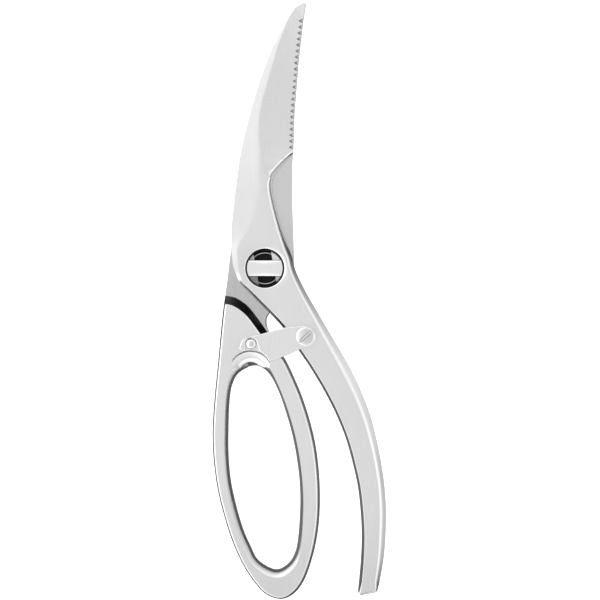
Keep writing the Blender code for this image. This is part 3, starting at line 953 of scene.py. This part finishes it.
@dataclass
class OpenHalf:
    """The front half: serrated blade, bone notch, pivot recess and open handle."""

    frame: Frame
    wardrobe: Wardrobe
    step: float = 1.2
    tip_x: float = 16.2
    recess_radius: float = 7.9
    recess_depth: float = 2.1
    slot_width: float = 7.1
    slot_turn: float = 10.0
    sweep_radius: float = 20.3
    tooth_pitch: float = 2.4
    # share of the blade, x, then the edge's width and fall
    spine: tuple[Point, ...] = (
        (0.974, 12.2, 0.3, 0.1), (0.925, 9.1, 0.7, 0.12), (0.85, 5.1, 1.3, 0.2), (0.775, 1.7, 2.4, 0.34),
        (0.675, -1.9, 3.2, 0.44), (0.575, -4.9, 3.7, 0.5), (0.475, -7.5, 5.4, 0.7), (0.35, -10.1, 8.6, 1.0),
        (0.2, -12.0, 10.0, 0.75), (0.07, -13.3, 7.5, 0.6))
    inner: tuple[Point, ...] = (
        (0.05, 18.2), (0.15, 23.9), (0.25, 28.7), (0.35, 32.5), (0.45, 35.2), (0.55, 37.3), (0.65, 38.4),
        (0.75, 38.9), (0.85, 38.6), (0.95, 37.8))
    outer: tuple[Point, ...] = (
        (0.95, 45.9, 2.2, 1.8), (0.85, 47.6, 2.9, 2.0), (0.75, 48.4, 3.2, 2.1), (0.65, 48.6, 3.2, 2.1),
        (0.55, 48.0, 3.1, 2.1), (0.45, 46.7, 3.3, 2.2), (0.35, 44.8, 3.7, 2.3), (0.25, 42.3, 4.1, 2.5),
        (0.15, 38.7, 4.5, 2.6), (0.05, 34.1, 4.7, 2.7))
    notch: tuple[Point, ...] = (
        (0.055, 6.8), (0.136, 4.7), (0.2, 3.3), (0.24, 2.9), (0.277, 3.5), (0.32, 6.9), (0.352, 10.3))

    def outline(self) -> list[Station]:
        """The outline, with the edge at each place.

        Returns:
            The places, in order round the half.
        """
        frame = self.frame
        blade = (BLADE_ROOT, frame.reach)
        handle = (-35.0, -frame.handle_reach)
        spine = [(*point, -1.0) for point in along(self.spine, *blade)]
        left = smooth([(self.tip_x, frame.reach, 0.2, 0.1, -1.0), *spine, (-13.4, 8.5, 2.8, 0.45, -1.0),
                       (-12.8, 1.8, 2.2, 0.3, -1.0), (-11.7, -2.1, 1.6, 0.25, -1.0), (-9.7, -6.1, 0.9, 1.1, -1.0),
                       (-7.1, -8.8, 1.1, 1.8, -1.0)], self.step)
        inner = edged([(1.9, -17.9), (7.6, -24.2), (14.9, -34.9), *along(self.inner, *handle)],
                      1.15, 1.9, -1.0)
        end = smooth([(37.4, handle[1] + 1.3, 0.9, 1.0, 0.0), (37.5, handle[1] + 0.4, 0.7, 0.8, 0.0),
                      (38.0, handle[1] - 0.2, 0.6, 0.7, 0.0), (39.4, handle[1] + 0.1, 0.7, 0.8, 0.0),
                      (43.9, handle[1] + 0.9, 0.8, 0.8, 0.0), (44.8, handle[1] + 1.4, 0.9, 0.9, 0.3),
                      (45.3, handle[1] + 2.4, 1.4, 1.3, 0.8)], 0.4)
        upper = [(28.4, -29.9, 4.2, 2.6, 1.0), (22.7, -20.3, 3.5, 2.4, 1.0), (17.1, -10.7, 3.0, 2.3, 1.0),
                 (14.0, -4.7, 2.8, 2.3, 1.0), (12.0, 0.0, 2.6, 2.3, 1.0), (10.9, 4.4, 2.6, 2.5, 0.8),
                 (9.3, 8.5, 2.8, 3.0, 0.5)]
        outer = smooth([*[(*point, 1.0) for point in along(self.outer, *handle)], *upper], self.step)
        notch = smooth(edged(along(self.notch, *blade), 2.4, 3.5), self.step * 0.7)
        notch = [(x, y, width * (1 - ramp(y, 33.0, 40.0)) + 0.2, fall, kind)
                 for x, y, width, fall, kind in notch]
        edge = smooth(edged(along(EDGE_RUN, *blade), 0.2, 0.2), self.step)
        return [*left, *smooth(inner, self.step), *end, *outer, *notch, *edge]

    def lap_cutter(self) -> bpy.types.Object:
        """What leaves the half one lap thick above the hub.

        Returns:
            The closed cutter.
        """
        side = 3 * self.sweep_radius
        hub = arc(0, 0, self.sweep_radius, -4, -176, 60)
        run = [(side, hub[0][1]), *hub, (-side, hub[-1][1]), (-side, 2 * side), (side, 2 * side)]
        return sheet("lap_cutter", run, -2.0, self.frame.front_floor)

    def notch_bevel(self, facet: Sequence[Point], edge: Sequence[Point]) -> bpy.types.Object:
        """The bevel round the bone notch where the blade is ground thinner, as a cutter.

        Args:
            facet: (x, y) points on the facet line.
            edge: (x, y) points on the cutting edge, each level with one of the facet's.

        Returns:
            The closed cutter.
        """
        frame = self.frame
        floor = frame.front_floor + EDGE_LEFT

        def height(x: float, y: float) -> float:
            """The face's height at a place on the blade.

            Args:
                x: The place.
                y: The place.

            Returns:
                The height, ground or not.
            """
            top = frame.total - thinned(y, frame.reach)
            for (x0, y0), (x2, y2), (x1, _), (x3, _) in zip(facet, facet[1:], edge, edge[1:]):
                if y0 <= y <= y2:
                    share = (y - y0) / (y2 - y0)
                    inner, outer = x0 + share * (x2 - x0), x1 + share * (x3 - x1)
                    return min(top, top + (x - inner) / (outer - inner) * (floor - top))
            return top

        run = smooth(along([(0.24, 2.9), (0.277, 3.5), (0.32, 6.9), (0.352, 10.3), (0.37, 12.4)], BLADE_ROOT,
                           frame.reach), 0.7)
        rings = []
        width = 2.0
        for index, (x, y) in enumerate(run):
            before, after = run[max(index - 1, 0)], run[min(index + 1, len(run) - 1)]
            way = Vector((before[1] - after[1], after[0] - before[0])).normalized()
            grown = ramp(y, 33.0, 36.5)
            face = height(x + way.x * width * grown, y + way.y * width * grown)
            ring = []
            for inset, drop in ((width + 1.2, -2.0), (width, -0.02), (1.45, 0.22), (0.0, 2.4), (-1.5, 4.6),
                                (-1.5, -2.0)):
                inset = inset * grown if inset > 0 else inset
                px, py = x + way.x * inset, y + way.y * inset
                ring.append((px, py, face - drop * grown + (1 - grown) * 3))
            rings.append(ring)
        return lofted("notch_cutter", rings, split=True)

    def teeth(self) -> bpy.types.Object:
        """The notches across the cutting edge, wider towards the front face, as one cutter.

        Returns:
            The cutter.
        """
        low, high = self.frame.front_floor - 3, self.frame.total + 1
        run = along(((0.398, 11.2), *EDGE_RUN[2:-1]), BLADE_ROOT, self.frame.reach)
        made = polyline("teeth_cutter", [(x, y, self.frame.front_floor) for x, y in smooth(run, 1.0)])
        shape = NodeShape("serration", {"Pitch": ("NodeSocketFloat", self.tooth_pitch * MM)})
        rings = []
        for height, depth, half in ((low, 0.55, 0.34), (4.75, 0.6, 0.36), (5.5, 1.2, 0.78), (6.6, 2.3, 1.16),
                                    (high, 4.6, 1.19)):
            z = height - self.frame.front_floor
            rings.append([(2.0, -half, z), (-0.3 * depth, -half * 0.86, z), (-0.85 * depth, -half * 0.3, z),
                          (-depth, 0.0, z), (-0.85 * depth, half * 0.3, z), (-0.3 * depth, half * 0.86, z),
                          (2.0, half, z)])
        prism = lofted("tooth", rings)
        line = shape.node("GeometryNodeMeshToCurve", links={"Mesh": shape.size("Geometry")})
        points = shape.node("GeometryNodeCurveToPoints", {"mode": "LENGTH"},
                            {"Curve": line.outputs[0], "Length": shape.size("Pitch")})
        one = shape.node("GeometryNodeObjectInfo", {"transform_space": "ORIGINAL"})
        one.inputs["Object"].default_value = prism
        spread = shape.node("GeometryNodeInstanceOnPoints",
                            links={"Points": points.outputs[0], "Instance": one.outputs["Geometry"]})
        shape.close(spread.outputs[0], self.wardrobe[Finish.OPEN_HALF])
        shape.run(made)
        bpy.data.objects.remove(prism)
        return made

    def build(self) -> bpy.types.Object:
        """The forged, ground and drilled half.

        Returns:
            The finished piece.
        """
        frame = self.frame
        half = Forging("open_half_forging", self.outline(), frame.total, frame.reach, True).build()
        cut(half, self.lap_cutter())
        blade = (BLADE_ROOT, frame.reach)
        facet = along([(0.2, 4.4), (0.24, 2.4), (0.3, 0.4), (0.35, -0.9), (0.4, -1.7), (0.45, -2.1), (0.5, -2.05),
                       (0.55, -1.6), (0.6, -0.6), (0.7, 2.2), (0.8, 5.0), (0.9, 8.2), (1.02, 12.2)], *blade)
        edge = along([(0.2, 11.9), (0.24, 11.4), (0.3, 11.0), (0.35, 11.0), (0.4, 11.2), (0.45, 11.4), (0.5, 11.55),
                      (0.55, 11.8), (0.6, 12.1), (0.7, 12.95), (0.8, 13.8), (0.9, 14.95), (1.02, 16.8)], *blade)
        cut(half, grind("front_grind", facet, edge, frame.total, frame.front_floor + EDGE_LEFT, frame.reach,
                        True))
        cut(half, self.notch_bevel(facet, edge))
        cut(half, self.teeth())
        top = frame.total
        web_top = top - self.recess_depth
        cut(half, turned("recess_cutter", [
            (0, frame.front_floor - 2), (self.recess_radius, frame.front_floor - 2),
            (self.recess_radius, top - 0.32), (self.recess_radius + 0.62, top), (self.recess_radius + 2.6, top + 1),
            (0, top + 1)], sides=120))
        web = turned("web", [(0, frame.web_floor), (self.recess_radius + 0.8, frame.web_floor),
                             (self.recess_radius + 0.8, web_top), (0, web_top)], sides=120)
        cut(web, block("slot", (self.slot_width, 3 * self.recess_radius, 8.0), (0, 0, web_top), self.slot_turn))
        cut(half, web, "UNION")
        x, y = frame.screw
        foot, hole, seat = top - THREAD_LENGTH - GAP, THREAD_RADIUS + GAP, 4.05
        cut(half, turned("screw_bore", [(0, foot), (hole, foot), (hole, top - 1.0), (seat, top - 1.0),
                                        (seat, top + 1), (0, top + 1)], x, y))
        settle(half)
        dress(half, self.wardrobe[Finish.OPEN_HALF])
        return half


@dataclass
class RingHalf:
    """The rear half: plain blade, lap, stepped neck, thumb scoop and ring handle."""

    frame: Frame
    wardrobe: Wardrobe
    step: float = 1.2
    scoop: Point = (-5.7, -42.0)
    scoop_radius: float = 9.2
    opening_top: float = -39.1
    ring_end: float = 11.8
    pocket_radius: float = 7.9
    left: tuple[Point, ...] = (
        (0.016, -19.0), (0.143, -20.2), (0.27, -21.0), (0.36, -20.9), (0.45, -20.2), (0.55, -18.7),
        (0.65, -16.3), (0.752, -13.2), (0.853, -8.9), (0.929, -4.2), (0.98, 0.5))
    right: tuple[Point, ...] = (
        (0.98, 11.5), (0.929, 15.4), (0.853, 18.3), (0.752, 20.7), (0.65, 21.9), (0.55, 22.1), (0.45, 21.6),
        (0.346, 20.3), (0.244, 18.0), (0.143, 14.9), (0.067, 11.9))
    # share of the opening, x, then how far its wall slopes out to the front face
    opening_left: tuple[Point, ...] = (
        (0.035, -10.4, 2.6), (0.094, -13.1, 1.8), (0.182, -14.2, 1.6), (0.33, -14.6, 1.6), (0.446, -14.5, 1.7),
        (0.564, -13.6, 1.8), (0.681, -11.6, 2.0), (0.798, -8.8, 2.2), (0.886, -5.7, 2.5), (0.955, -2.6, 2.7))
    opening_right: tuple[Point, ...] = (
        (0.974, 9.1, 2.6), (0.916, 12.1, 2.0), (0.828, 13.4, 1.5), (0.681, 14.1, 1.3), (0.564, 13.8, 1.2),
        (0.446, 12.6, 1.2), (0.33, 10.7, 1.2), (0.211, 7.9, 1.1), (0.123, 5.3, 1.0), (0.05, 2.2, 1.3),
        (0.012, -0.9, 2.4))

    def outline(self) -> list[Station]:
        """The outline without the opening, with the edge at each place.

        Returns:
            The places, in order round the half.
        """
        reach, ring = self.frame.reach, -self.frame.ring_reach
        blade = (BLADE_ROOT, reach)
        spine = [(x + 0.3, y) for x, y in along(EDGE_RUN, *blade)]
        rear_edge = along([(0.96, 14.2), (0.88, 10.6), (0.75, 5.4), (0.6, 0.6), (0.45, -3.6), (0.3, -7.2),
                           (0.14, -9.6)], *blade)
        edge = edged([(15.6, reach - 1.5), *rear_edge, (-12.2, 13.0)], 0.3, 0.3)
        left = edged([(-13.4, 9.0), (-14.2, 3.7), (-15.0, -3.5), (-16.3, -13.1), (-17.4, -22.7),
                      *along(self.left, -38.0, ring)], 1.2, 2.2)
        bottom = edged([(6.5, ring)], 1.3, 2.4)
        right = edged([*along(self.right, -38.0, ring), (8.6, -37.4), (4.6, -31.0), (1.6, -25.4)], 1.9, 4.0)
        neck = [(0.7, -23.0, 1.6, 6.5, -1.0), (0.6, -20.6, 1.6, 6.5, -1.0), (1.9, -17.9, 1.5, 6.5, -1.0),
                (6.0, -13.0, 0.8, 3.0, -0.5), *edged([(9.8, -7.6), (11.4, -2.5), (11.7, 4.0), (11.4, 14.0),
                                                      (11.0, 28.0), (11.0, 42.0)], 0.5, 0.5)]
        tip = edged([*spine, (16.7, reach)], 0.3, 0.3)
        return [*smooth(edge, self.step), *smooth([*left, *bottom, *right], self.step), *smooth(neck, self.step),
                *smooth(tip, self.step)]

    def opening(self) -> bpy.types.Object:
        """The finger opening, whose walls bulge inwards.

        Returns:
            The closed cutter.
        """
        end = self.ring_end - self.frame.ring_reach
        run = smooth([(-4.6, self.opening_top, 3.2), *along(self.opening_left, self.opening_top, end),
                      (4.1, end, 3.0), *along(self.opening_right, self.opening_top, end)], self.step, True)
        total = self.frame.total
        levels = [(total + 2, 1.0), (total, 1.0), (total - 0.5, 0.72), (total - 1.2, 0.42), (total - 2.2, 0.17),
                  (total - 3.4, 0.04), (total / 2, 0.0), (2.2, 0.12), (1.0, 0.4), (0.0, 0.9), (-2.0, 0.9)]
        rings = []
        for height, share in levels:
            ring = []
            for index, (x, y, slope) in enumerate(run):
                before, after = run[index - 1], run[(index + 1) % len(run)]
                way = Vector((before[1] - after[1], after[0] - before[0])).normalized()
                ring.append((x - way.x * slope * share, y - way.y * slope * share, height))
            rings.append(ring)
        return lofted("opening_cutter", rings)

    def step_cutter(self) -> bpy.types.Object:
        """What leaves the half one lap thick above its step, with the step's slope and rounded lip.

        Returns:
            The closed cutter.
        """
        run = smooth([(-19.0, -10.3), (-15.5, -10.7), (-12.0, -11.4), (-8.7, -13.3), (-5.9, -15.8), (-2.2, -20.6),
                      (0.6, -24.6), (4.0, -30.0)], 0.8)
        run = [*run, (60.0, -30.0), (60.0, 130.0), (-60.0, 130.0), (-60.0, -10.3)]
        lap, total = self.frame.rear_lap, self.frame.total
        levels = [(lap, -0.08), (lap + 0.3, 0.12), (total - 0.7, 0.93), (total - 0.25, 1.0), (total, 1.14),
                  (total + 2, 1.9)]
        return lofted("step_cutter", [[(x - 1.2 * s, y - 3.6 * s, z) for x, y in run] for z, s in levels])

    def build(self) -> bpy.types.Object:
        """The forged, ground and drilled half.

        Returns:
            The finished piece.
        """
        frame = self.frame
        half = Forging("ring_half_forging", self.outline(), frame.total, frame.reach, False).build()
        cut(half, self.step_cutter())
        cut(half, self.opening())
        x, y = self.scoop
        top, radius = frame.total, self.scoop_radius
        bowl = turned("scoop_cutter", [
            (0, top - 6.4), (2.4, top - 6.0), (4.5, top - 2.3), (5.6, top - 2.0), (6.3, top - 1.4),
            (7.2, top - 1.25), (8.5, top - 0.8), (radius - 0.1, top), (radius + 0.6, top + 1),
            (0, top + 1)], x, y, 120)
        cut(bowl, block("scoop_reach", (15.0, 12.0, 12.0), (x + 0.1, y + 2.3 + 6.0, top)), "INTERSECT")
        cut(half, bowl)
        blade = (BLADE_ROOT, frame.reach)
        facet = along([(0.1, 3.2), (0.3, 2.6), (0.45, 3.6), (0.6, 6.0), (0.75, 10.0), (0.9, 15.0), (1.02, 19.5)],
                      *blade)
        edge = along([(0.1, -11.0), (0.3, -7.2), (0.45, -3.6), (0.6, 0.6), (0.75, 5.4), (0.9, 11.5), (1.02, 15.9)],
                     *blade)
        cut(half, grind("rear_grind", facet, edge, 0.0, frame.rear_lap - EDGE_LEFT, frame.reach, False))
        floor = frame.cup_low - GAP
        cut(half, turned("pocket_cutter", [(0, floor), (self.pocket_radius, floor),
                                           (self.pocket_radius, frame.rear_lap + 2), (0, frame.rear_lap + 2)],
                         sides=96))
        seat, bore = frame.nut_high + GAP, frame.nut_radius + GAP
        cut(half, turned("nut_seat", [(0, -2), (bore, -2), (bore, seat), (0, seat)], sides=96))
        cut(half, turned("stud_hole", [(0, -3), (3.0, -3), (3.0, frame.rear_lap + 1), (0, frame.rear_lap + 1)]))
        x, y = frame.pin
        foot, hole = top - THREAD_LENGTH - GAP, THREAD_RADIUS + GAP
        cut(half, turned("pin_hole", [(0, foot), (hole, foot), (hole, top + 1), (0, top + 1)], x, y))
        dress(half, self.wardrobe[Finish.RING_HALF])
        return half


@dataclass
class Pivot:
    """The stud with its flat head, the nut, the bearing cup and the torsion spring."""

    frame: Frame
    wardrobe: Wardrobe
    head_width: float = 6.5
    stud_radius: float = 2.7
    wire: float = 0.45

    def stud(self) -> bpy.types.Object:
        """The stud, whose head is the middle of a disc with soft edges.

        Returns:
            The finished piece.
        """
        frame = self.frame
        radius, low, high = frame.head_radius, frame.head_low, frame.head_high
        made = turned("pivot_stud_bar", [
            (0, low), (radius - 0.3, low), (radius, low + 0.3), (radius, high - 0.12), (radius - 0.12, high),
            (0, high)], sides=128)
        half = self.head_width / 2
        run = [(-half, low - 1), (-half, high - 0.55), (-half + 0.12, high - 0.3), (-half + 0.32, high - 0.12),
               (-half + 0.6, high), (-half + 0.6, high + 1)]
        run += [(-y, z) for y, z in reversed(run)]
        cut(made, lofted("bar_sides", [[(x, y, z) for y, z in run] for x in (-12.0, 12.0)]), "INTERSECT")
        r = self.stud_radius
        shaft = turned("shaft", [(0, 0.25), (1.0, 0.25), (1.3, 0.0), (r - 0.3, 0.0), (r, 0.3), (r, low + 0.5),
                                 (0, low + 0.5)], sides=64)
        cut(made, shaft, "UNION")
        dress(made, self.wardrobe[Finish.BAR])
        return made

    def nut(self) -> bpy.types.Object:
        """The round nut in the rear face, with two spanner holes.

        Returns:
            The finished piece.
        """
        radius, high, hole = self.frame.nut_radius, self.frame.nut_high, self.stud_radius + GAP
        made = turned("pivot_nut_ring", [
            (hole, high), (radius - 0.15, high), (radius, high - 0.15), (radius, 0.35), (radius - 0.12, 0.1),
            (radius - 0.35, 0.0), (hole + 0.25, 0.0), (hole, 0.25)], sides=96)
        for side in (-1, 1):
            cut(made, turned("spanner_hole", [(0, -1), (0.75, -1), (0.75, 0), (0.6, 0.15), (0.6, 0.5), (0.3, 0.75),
                                              (0, 0.8)], side * (radius + hole) / 2, sides=24))
        dress(made, self.wardrobe[Finish.POLISHED])
        return made

    def cup(self) -> bpy.types.Object:
        """The bearing cup, with a rounded rim.

        Returns:
            The finished piece.
        """
        frame = self.frame
        low, high, radius, hole = frame.cup_low, frame.cup_high, frame.cup_radius, self.stud_radius + GAP
        inner = radius - CUP_WALL
        made = turned("bearing_cup_ring", [
            (inner, high - 0.15), (inner + 0.15, high), (radius - 0.15, high), (radius, high - 0.15),
            (radius, low + 0.15), (radius - 0.15, low), (hole, low), (hole, low + CUP_WALL),
            (inner - 0.3, low + CUP_WALL), (inner, low + 0.9)], sides=96)
        dress(made, self.wardrobe[Finish.BLACK])
        return made

    def spring(self) -> bpy.types.Object:
        """The torsion spring: a wound wire with a straight leg at each end.

        Returns:
            The finished piece.
        """
        frame = self.frame
        radius = frame.cup_radius - CUP_WALL - GAP - self.wire
        low, high = frame.cup_low + CUP_WALL + GAP + self.wire, frame.web_floor - GAP - self.wire
        start, turns, steps = 190, 1.5, 144
        path = []
        for index in range(steps + 1):
            turn = math.radians(start + 360 * turns * index / steps)
            path.append((radius * math.cos(turn), radius * math.sin(turn), low + (high - low) * index / steps))
        first, last = path[0], path[-1]
        top = frame.web_floor + GAP
        path = [(*first[:2], low - 0.01 - self.wire * 0.5), *path, (*last[:2], top)]
        made = polyline("torsion_spring_wire", path)
        shape = NodeShape("wound_wire", {"Wire Radius": ("NodeSocketFloat", self.wire * MM),
                                         "Sides": ("NodeSocketInt", 16)})
        line = shape.node("GeometryNodeMeshToCurve", links={"Mesh": shape.size("Geometry")})
        ring = shape.node("GeometryNodeCurvePrimitiveCircle",
                          links={"Radius": shape.size("Wire Radius"), "Resolution": shape.size("Sides")})
        tube = shape.node("GeometryNodeCurveToMesh",
                          links={"Curve": line.outputs[0], "Profile Curve": ring.outputs[0]},
                          values={"Fill Caps": True})
        shape.close(tube.outputs[0], self.wardrobe[Finish.SPRING])
        shape.run(made)
        shade(made, 50.0)
        return made


@dataclass
class Latch:
    """The strap that hooks over the pin, its screw, its spring washer and the pin."""

    frame: Frame
    wardrobe: Wardrobe
    pin_radius: float = 2.1
    head_radius: float = 3.75
    shoulder: float = 2.2
    slot_width: float = 0.8
    slot_turn: float = 42.0

    def strap(self) -> bpy.types.Object:
        """The strap, stamped from sheet, with softened edges.

        Returns:
            The finished piece.
        """
        frame = self.frame
        (px, py), (sx, sy) = frame.pin, frame.screw
        inner = self.pin_radius + GAP
        hook = arc(px, py, inner, 0, 180, 24)
        left, bottom = px - inner, -33.0
        path = math.dist(frame.pin, frame.screw) - inner - 0.15
        angle = math.degrees(math.atan2(py - sy, px - sx)) % 360
        mouth = arc(sx, sy, path, angle + 9.5, angle + 3.0, 5)
        end = [*smooth([(1.7, -37.2), (0.9, -35.9), (-0.6, -34.4), mouth[0]], 0.7), *mouth[1:]]
        finger = [(left + 0.3, bottom), (left - 0.2, bottom - 0.25), (left - 0.7, bottom - 0.2)]
        back = smooth([(left - 2.3, bottom + 0.7), (left - 1.9, -30.6), (left - 0.6, -28.4), (-4.6, -27.0),
                       (0.0, -25.9), (8.1, -23.7)], 0.8)
        eye = arc(sx, sy, 4.4, 100, -60, 40)
        belly = smooth([(13.7, -32.6), (7.3, -35.4), (3.0, -36.8)], 0.8)
        made = sheet("latch_strap_plate", [*end, *hook, *finger, *back, *eye, *belly], frame.strap_low,
                     frame.strap_high, 0.42)
        cut(made, turned("eye_cutter", [(0, 5.0), (self.shoulder + GAP, 5.0), (self.shoulder + GAP, 14.0), (0, 14.0)],
                         sx, sy))
        dress(made, self.wardrobe[Finish.BRUSHED], 40.0)
        return made

    def screw(self) -> bpy.types.Object:
        """The shouldered screw, with a low dome and a straight slot.

        Returns:
            The finished piece.
        """
        frame = self.frame
        top, radius = frame.screw_top, self.head_radius
        head, foot, seat = frame.strap_high + GAP, frame.total - THREAD_LENGTH, frame.total - 0.7
        shares = (0.2, 0.35, 0.5, 0.65, 0.78, 0.88, 0.95)
        dome = [(radius * share, top - 0.62 * share ** 2.4) for share in shares]
        made = turned("latch_screw_turned", [
            (0, top), *dome, (radius - 0.05, top - 0.64), (radius, top - 0.74), (radius, head),
            (self.shoulder, head), (self.shoulder, seat), (THREAD_RADIUS, seat),
            (THREAD_RADIUS, foot + 0.3), (THREAD_RADIUS - 0.3, foot), (0, foot)],
            *frame.screw, sides=96)
        turn = math.radians(self.slot_turn)
        along_slot = Vector((math.cos(turn), math.sin(turn)))
        across = Vector((-along_slot.y, along_slot.x))
        half = self.slot_width / 2
        rings = [[(*(Vector(frame.screw) + along_slot * end + across * side), z)
                  for side, z in ((-half, top - 0.55), (half, top - 0.55), (half + 0.95, top + 0.6),
                                  (-half - 0.95, top + 0.6))] for end in (-6.0, 6.0)]
        cut(made, lofted("screw_slot", rings))
        dress(made, self.wardrobe[Finish.POLISHED])
        return made

    def pin(self) -> bpy.types.Object:
        """The domed pin.

        Returns:
            The finished piece.
        """
        frame = self.frame
        radius, top = self.pin_radius, frame.pin_top
        shoulder, foot = frame.total + GAP, frame.total - THREAD_LENGTH
        dome = [(radius * math.cos(turn), top - radius / 2 + radius / 2 * math.sin(turn))
                for turn in (math.radians(90 - 9 * k) for k in range(1, 11))]
        made = turned("latch_pin_turned", [
            (0, top), *dome, (radius, shoulder), (THREAD_RADIUS, shoulder), (THREAD_RADIUS, foot), (0, foot)],
            *frame.pin, sides=64)
        dress(made, self.wardrobe[Finish.POLISHED])
        return made

    def washer(self) -> bpy.types.Object:
        """The spring washer under the strap, slightly waved.

        Returns:
            The finished piece.
        """
        low, high = (corner.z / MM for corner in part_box("latch_washer"))
        hole, outer = self.shoulder + GAP, self.head_radius
        middle = (low + high) / 2
        x, y = self.frame.screw
        sides, waves, lift_most = 72, 3, 0.07
        rings = []
        for side in range(sides):
            turn = 2 * math.pi * side / sides
            lift = lift_most * math.cos(waves * turn)
            rings.append([(x + r * math.cos(turn), y + r * math.sin(turn), middle + lift + z)
                          for r, z in ((hole, -0.12), (outer, -0.12), (outer, 0.12), (hole, 0.12))])
        made = lofted("latch_washer_ring", rings, closed=True)
        dress(made, self.wardrobe[Finish.SPRING])
        return made


# ---------------------------------------------------------------- the studio


@dataclass
class Studio:
    """A pale floor, soft light from all round and a camera straight above."""

    centre: Point = (14.06, -12.72)
    across: float = 240.0
    face: float = 9.0
    distance: float = 1000.0

    def camera(self) -> None:
        """The camera, which frames the shears from straight above."""
        data = bpy.data.cameras.new("camera")
        data.sensor_width = 36.0
        data.lens = data.sensor_width * self.distance / self.across
        data.clip_end = 20.0
        made = bpy.data.objects.new("camera", data)
        bpy.context.scene.collection.objects.link(made)
        made.location = (self.centre[0] * MM, self.centre[1] * MM, (self.face + self.distance) * MM)
        bpy.context.scene.camera = made

    def floor(self) -> None:
        """The plain white floor."""
        mesh = bpy.data.meshes.new("floor")
        side = 3.0
        corners = [(-side, -side, 0), (side, -side, 0), (side, side, 0), (-side, side, 0)]
        mesh.from_pydata(corners, [], [(0, 1, 2, 3)])
        floor = link("floor", mesh)
        floor.location.z = -0.0006
        bench = Bench("floor_white")
        bench.feed(Base_Color=(0.8, 0.8, 0.8, 1.0), Roughness=0.9, Emission_Color=(1.0, 1.0, 1.0, 1.0),
                   Emission_Strength=1.0)
        floor.data.materials.append(bench.material)
        floor.visible_glossy = False

    def sky(self) -> None:
        """Soft light from all round: even overhead, bright lower down and dark below."""
        world = bpy.data.worlds.new("studio")
        bpy.context.scene.world = world
        world.use_nodes = True
        tree = world.node_tree
        back = tree.nodes["Background"]
        place = tree.nodes.new("ShaderNodeTexCoord")
        split = tree.nodes.new("ShaderNodeSeparateXYZ")
        tree.links.new(place.outputs["Generated"], split.inputs[0])
        height = Wire(tree, split.outputs["Z"])
        side = Wire(tree, split.outputs["X"])
        angle = height.maths("ARCCOSINE") * (180 / math.pi)
        ramp_node = tree.nodes.new("ShaderNodeValToRGB")
        stops = ((0, 0.9), (24, 0.9), (36, 1.05), (48, 1.5), (60, 1.5), (76, 1.05), (90, 0.45), (99, 0.1),
                 (110, 0.03), (125, 0.12), (180, 0.3))
        ramp_node.color_ramp.interpolation = "EASE"
        elements = ramp_node.color_ramp.elements
        elements.remove(elements[-1])
        for index, (degrees, value) in enumerate(stops):
            element = elements.new(degrees / 180) if index else elements[0]
            element.position = degrees / 180
            element.color = (value / 2, value / 2, value / 2, 1.0)
        tree.links.new((angle * (1 / 180)).socket, ramp_node.inputs[0])
        level = Wire(tree, ramp_node.outputs[0]) * 2.0
        left, right = (side * -1.0).between(0.0, 1.0), side.between(0.0, 1.0)
        light = level * (left * 0.75 - right * 0.15 + 1.0)
        back.inputs["Color"].default_value = (1.0, 1.0, 1.0, 1.0)
        tree.links.new(light.socket, back.inputs["Strength"])

    def lights(self) -> None:
        """Two broad soft lamps, the stronger on the left."""
        for name, place, power in (("lamp_left", (-1.3, 0.3, 0.9), 1.2), ("lamp_right", (1.3, -0.2, 0.9), 0.8)):
            data = bpy.data.lights.new(name, "AREA")
            data.shape = "RECTANGLE"
            data.size, data.size_y = 0.9, 1.2
            data.energy = power
            lamp = bpy.data.objects.new(name, data)
            bpy.context.scene.collection.objects.link(lamp)
            lamp.location = place
            lamp.rotation_euler = (-Vector(place)).to_track_quat("-Z", "Y").to_euler()

    def build(self) -> None:
        """Sets up the whole studio."""
        self.camera()
        self.floor()
        self.sky()
        self.lights()
        settings = bpy.context.scene.view_settings
        settings.view_transform = "Standard"
        settings.look = "None"


def main() -> None:
    """Builds the studio and every piece, and hands each one to the frame."""
    logging.basicConfig(level=logging.INFO, format="%(name)s: %(message)s")
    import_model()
    frame = Frame.read()
    wardrobe = Wardrobe()
    Studio().build()
    pivot, latch = Pivot(frame, wardrobe), Latch(frame, wardrobe)
    pieces = (
        (OpenHalf(frame, wardrobe).build, "open_half", "open_body", "satin_steel"),
        (RingHalf(frame, wardrobe).build, "ring_half", "ring_body", "satin_steel"),
        (pivot.stud, "pivot_stud", "ring_body", "polished_steel"),
        (pivot.nut, "pivot_nut", "ring_body", "polished_steel"),
        (pivot.cup, "bearing_cup", "ring_body", "black_plastic"),
        (pivot.spring, "torsion_spring", "ring_body", "spring_steel"),
        (latch.strap, "latch_strap", "latch_body", "brushed_steel"),
        (latch.screw, "latch_screw", "open_body", "polished_steel"),
        (latch.washer, "latch_washer", "open_body", "spring_steel"),
        (latch.pin, "latch_pin", "ring_body", "polished_steel"),
    )
    for build, node, body, slot in pieces:
        made = build()
        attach(made, body)
        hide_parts(node)
        log.info("%s: %d faces", made.name, len(made.data.polygons))


if __name__ == "__main__":
    main()
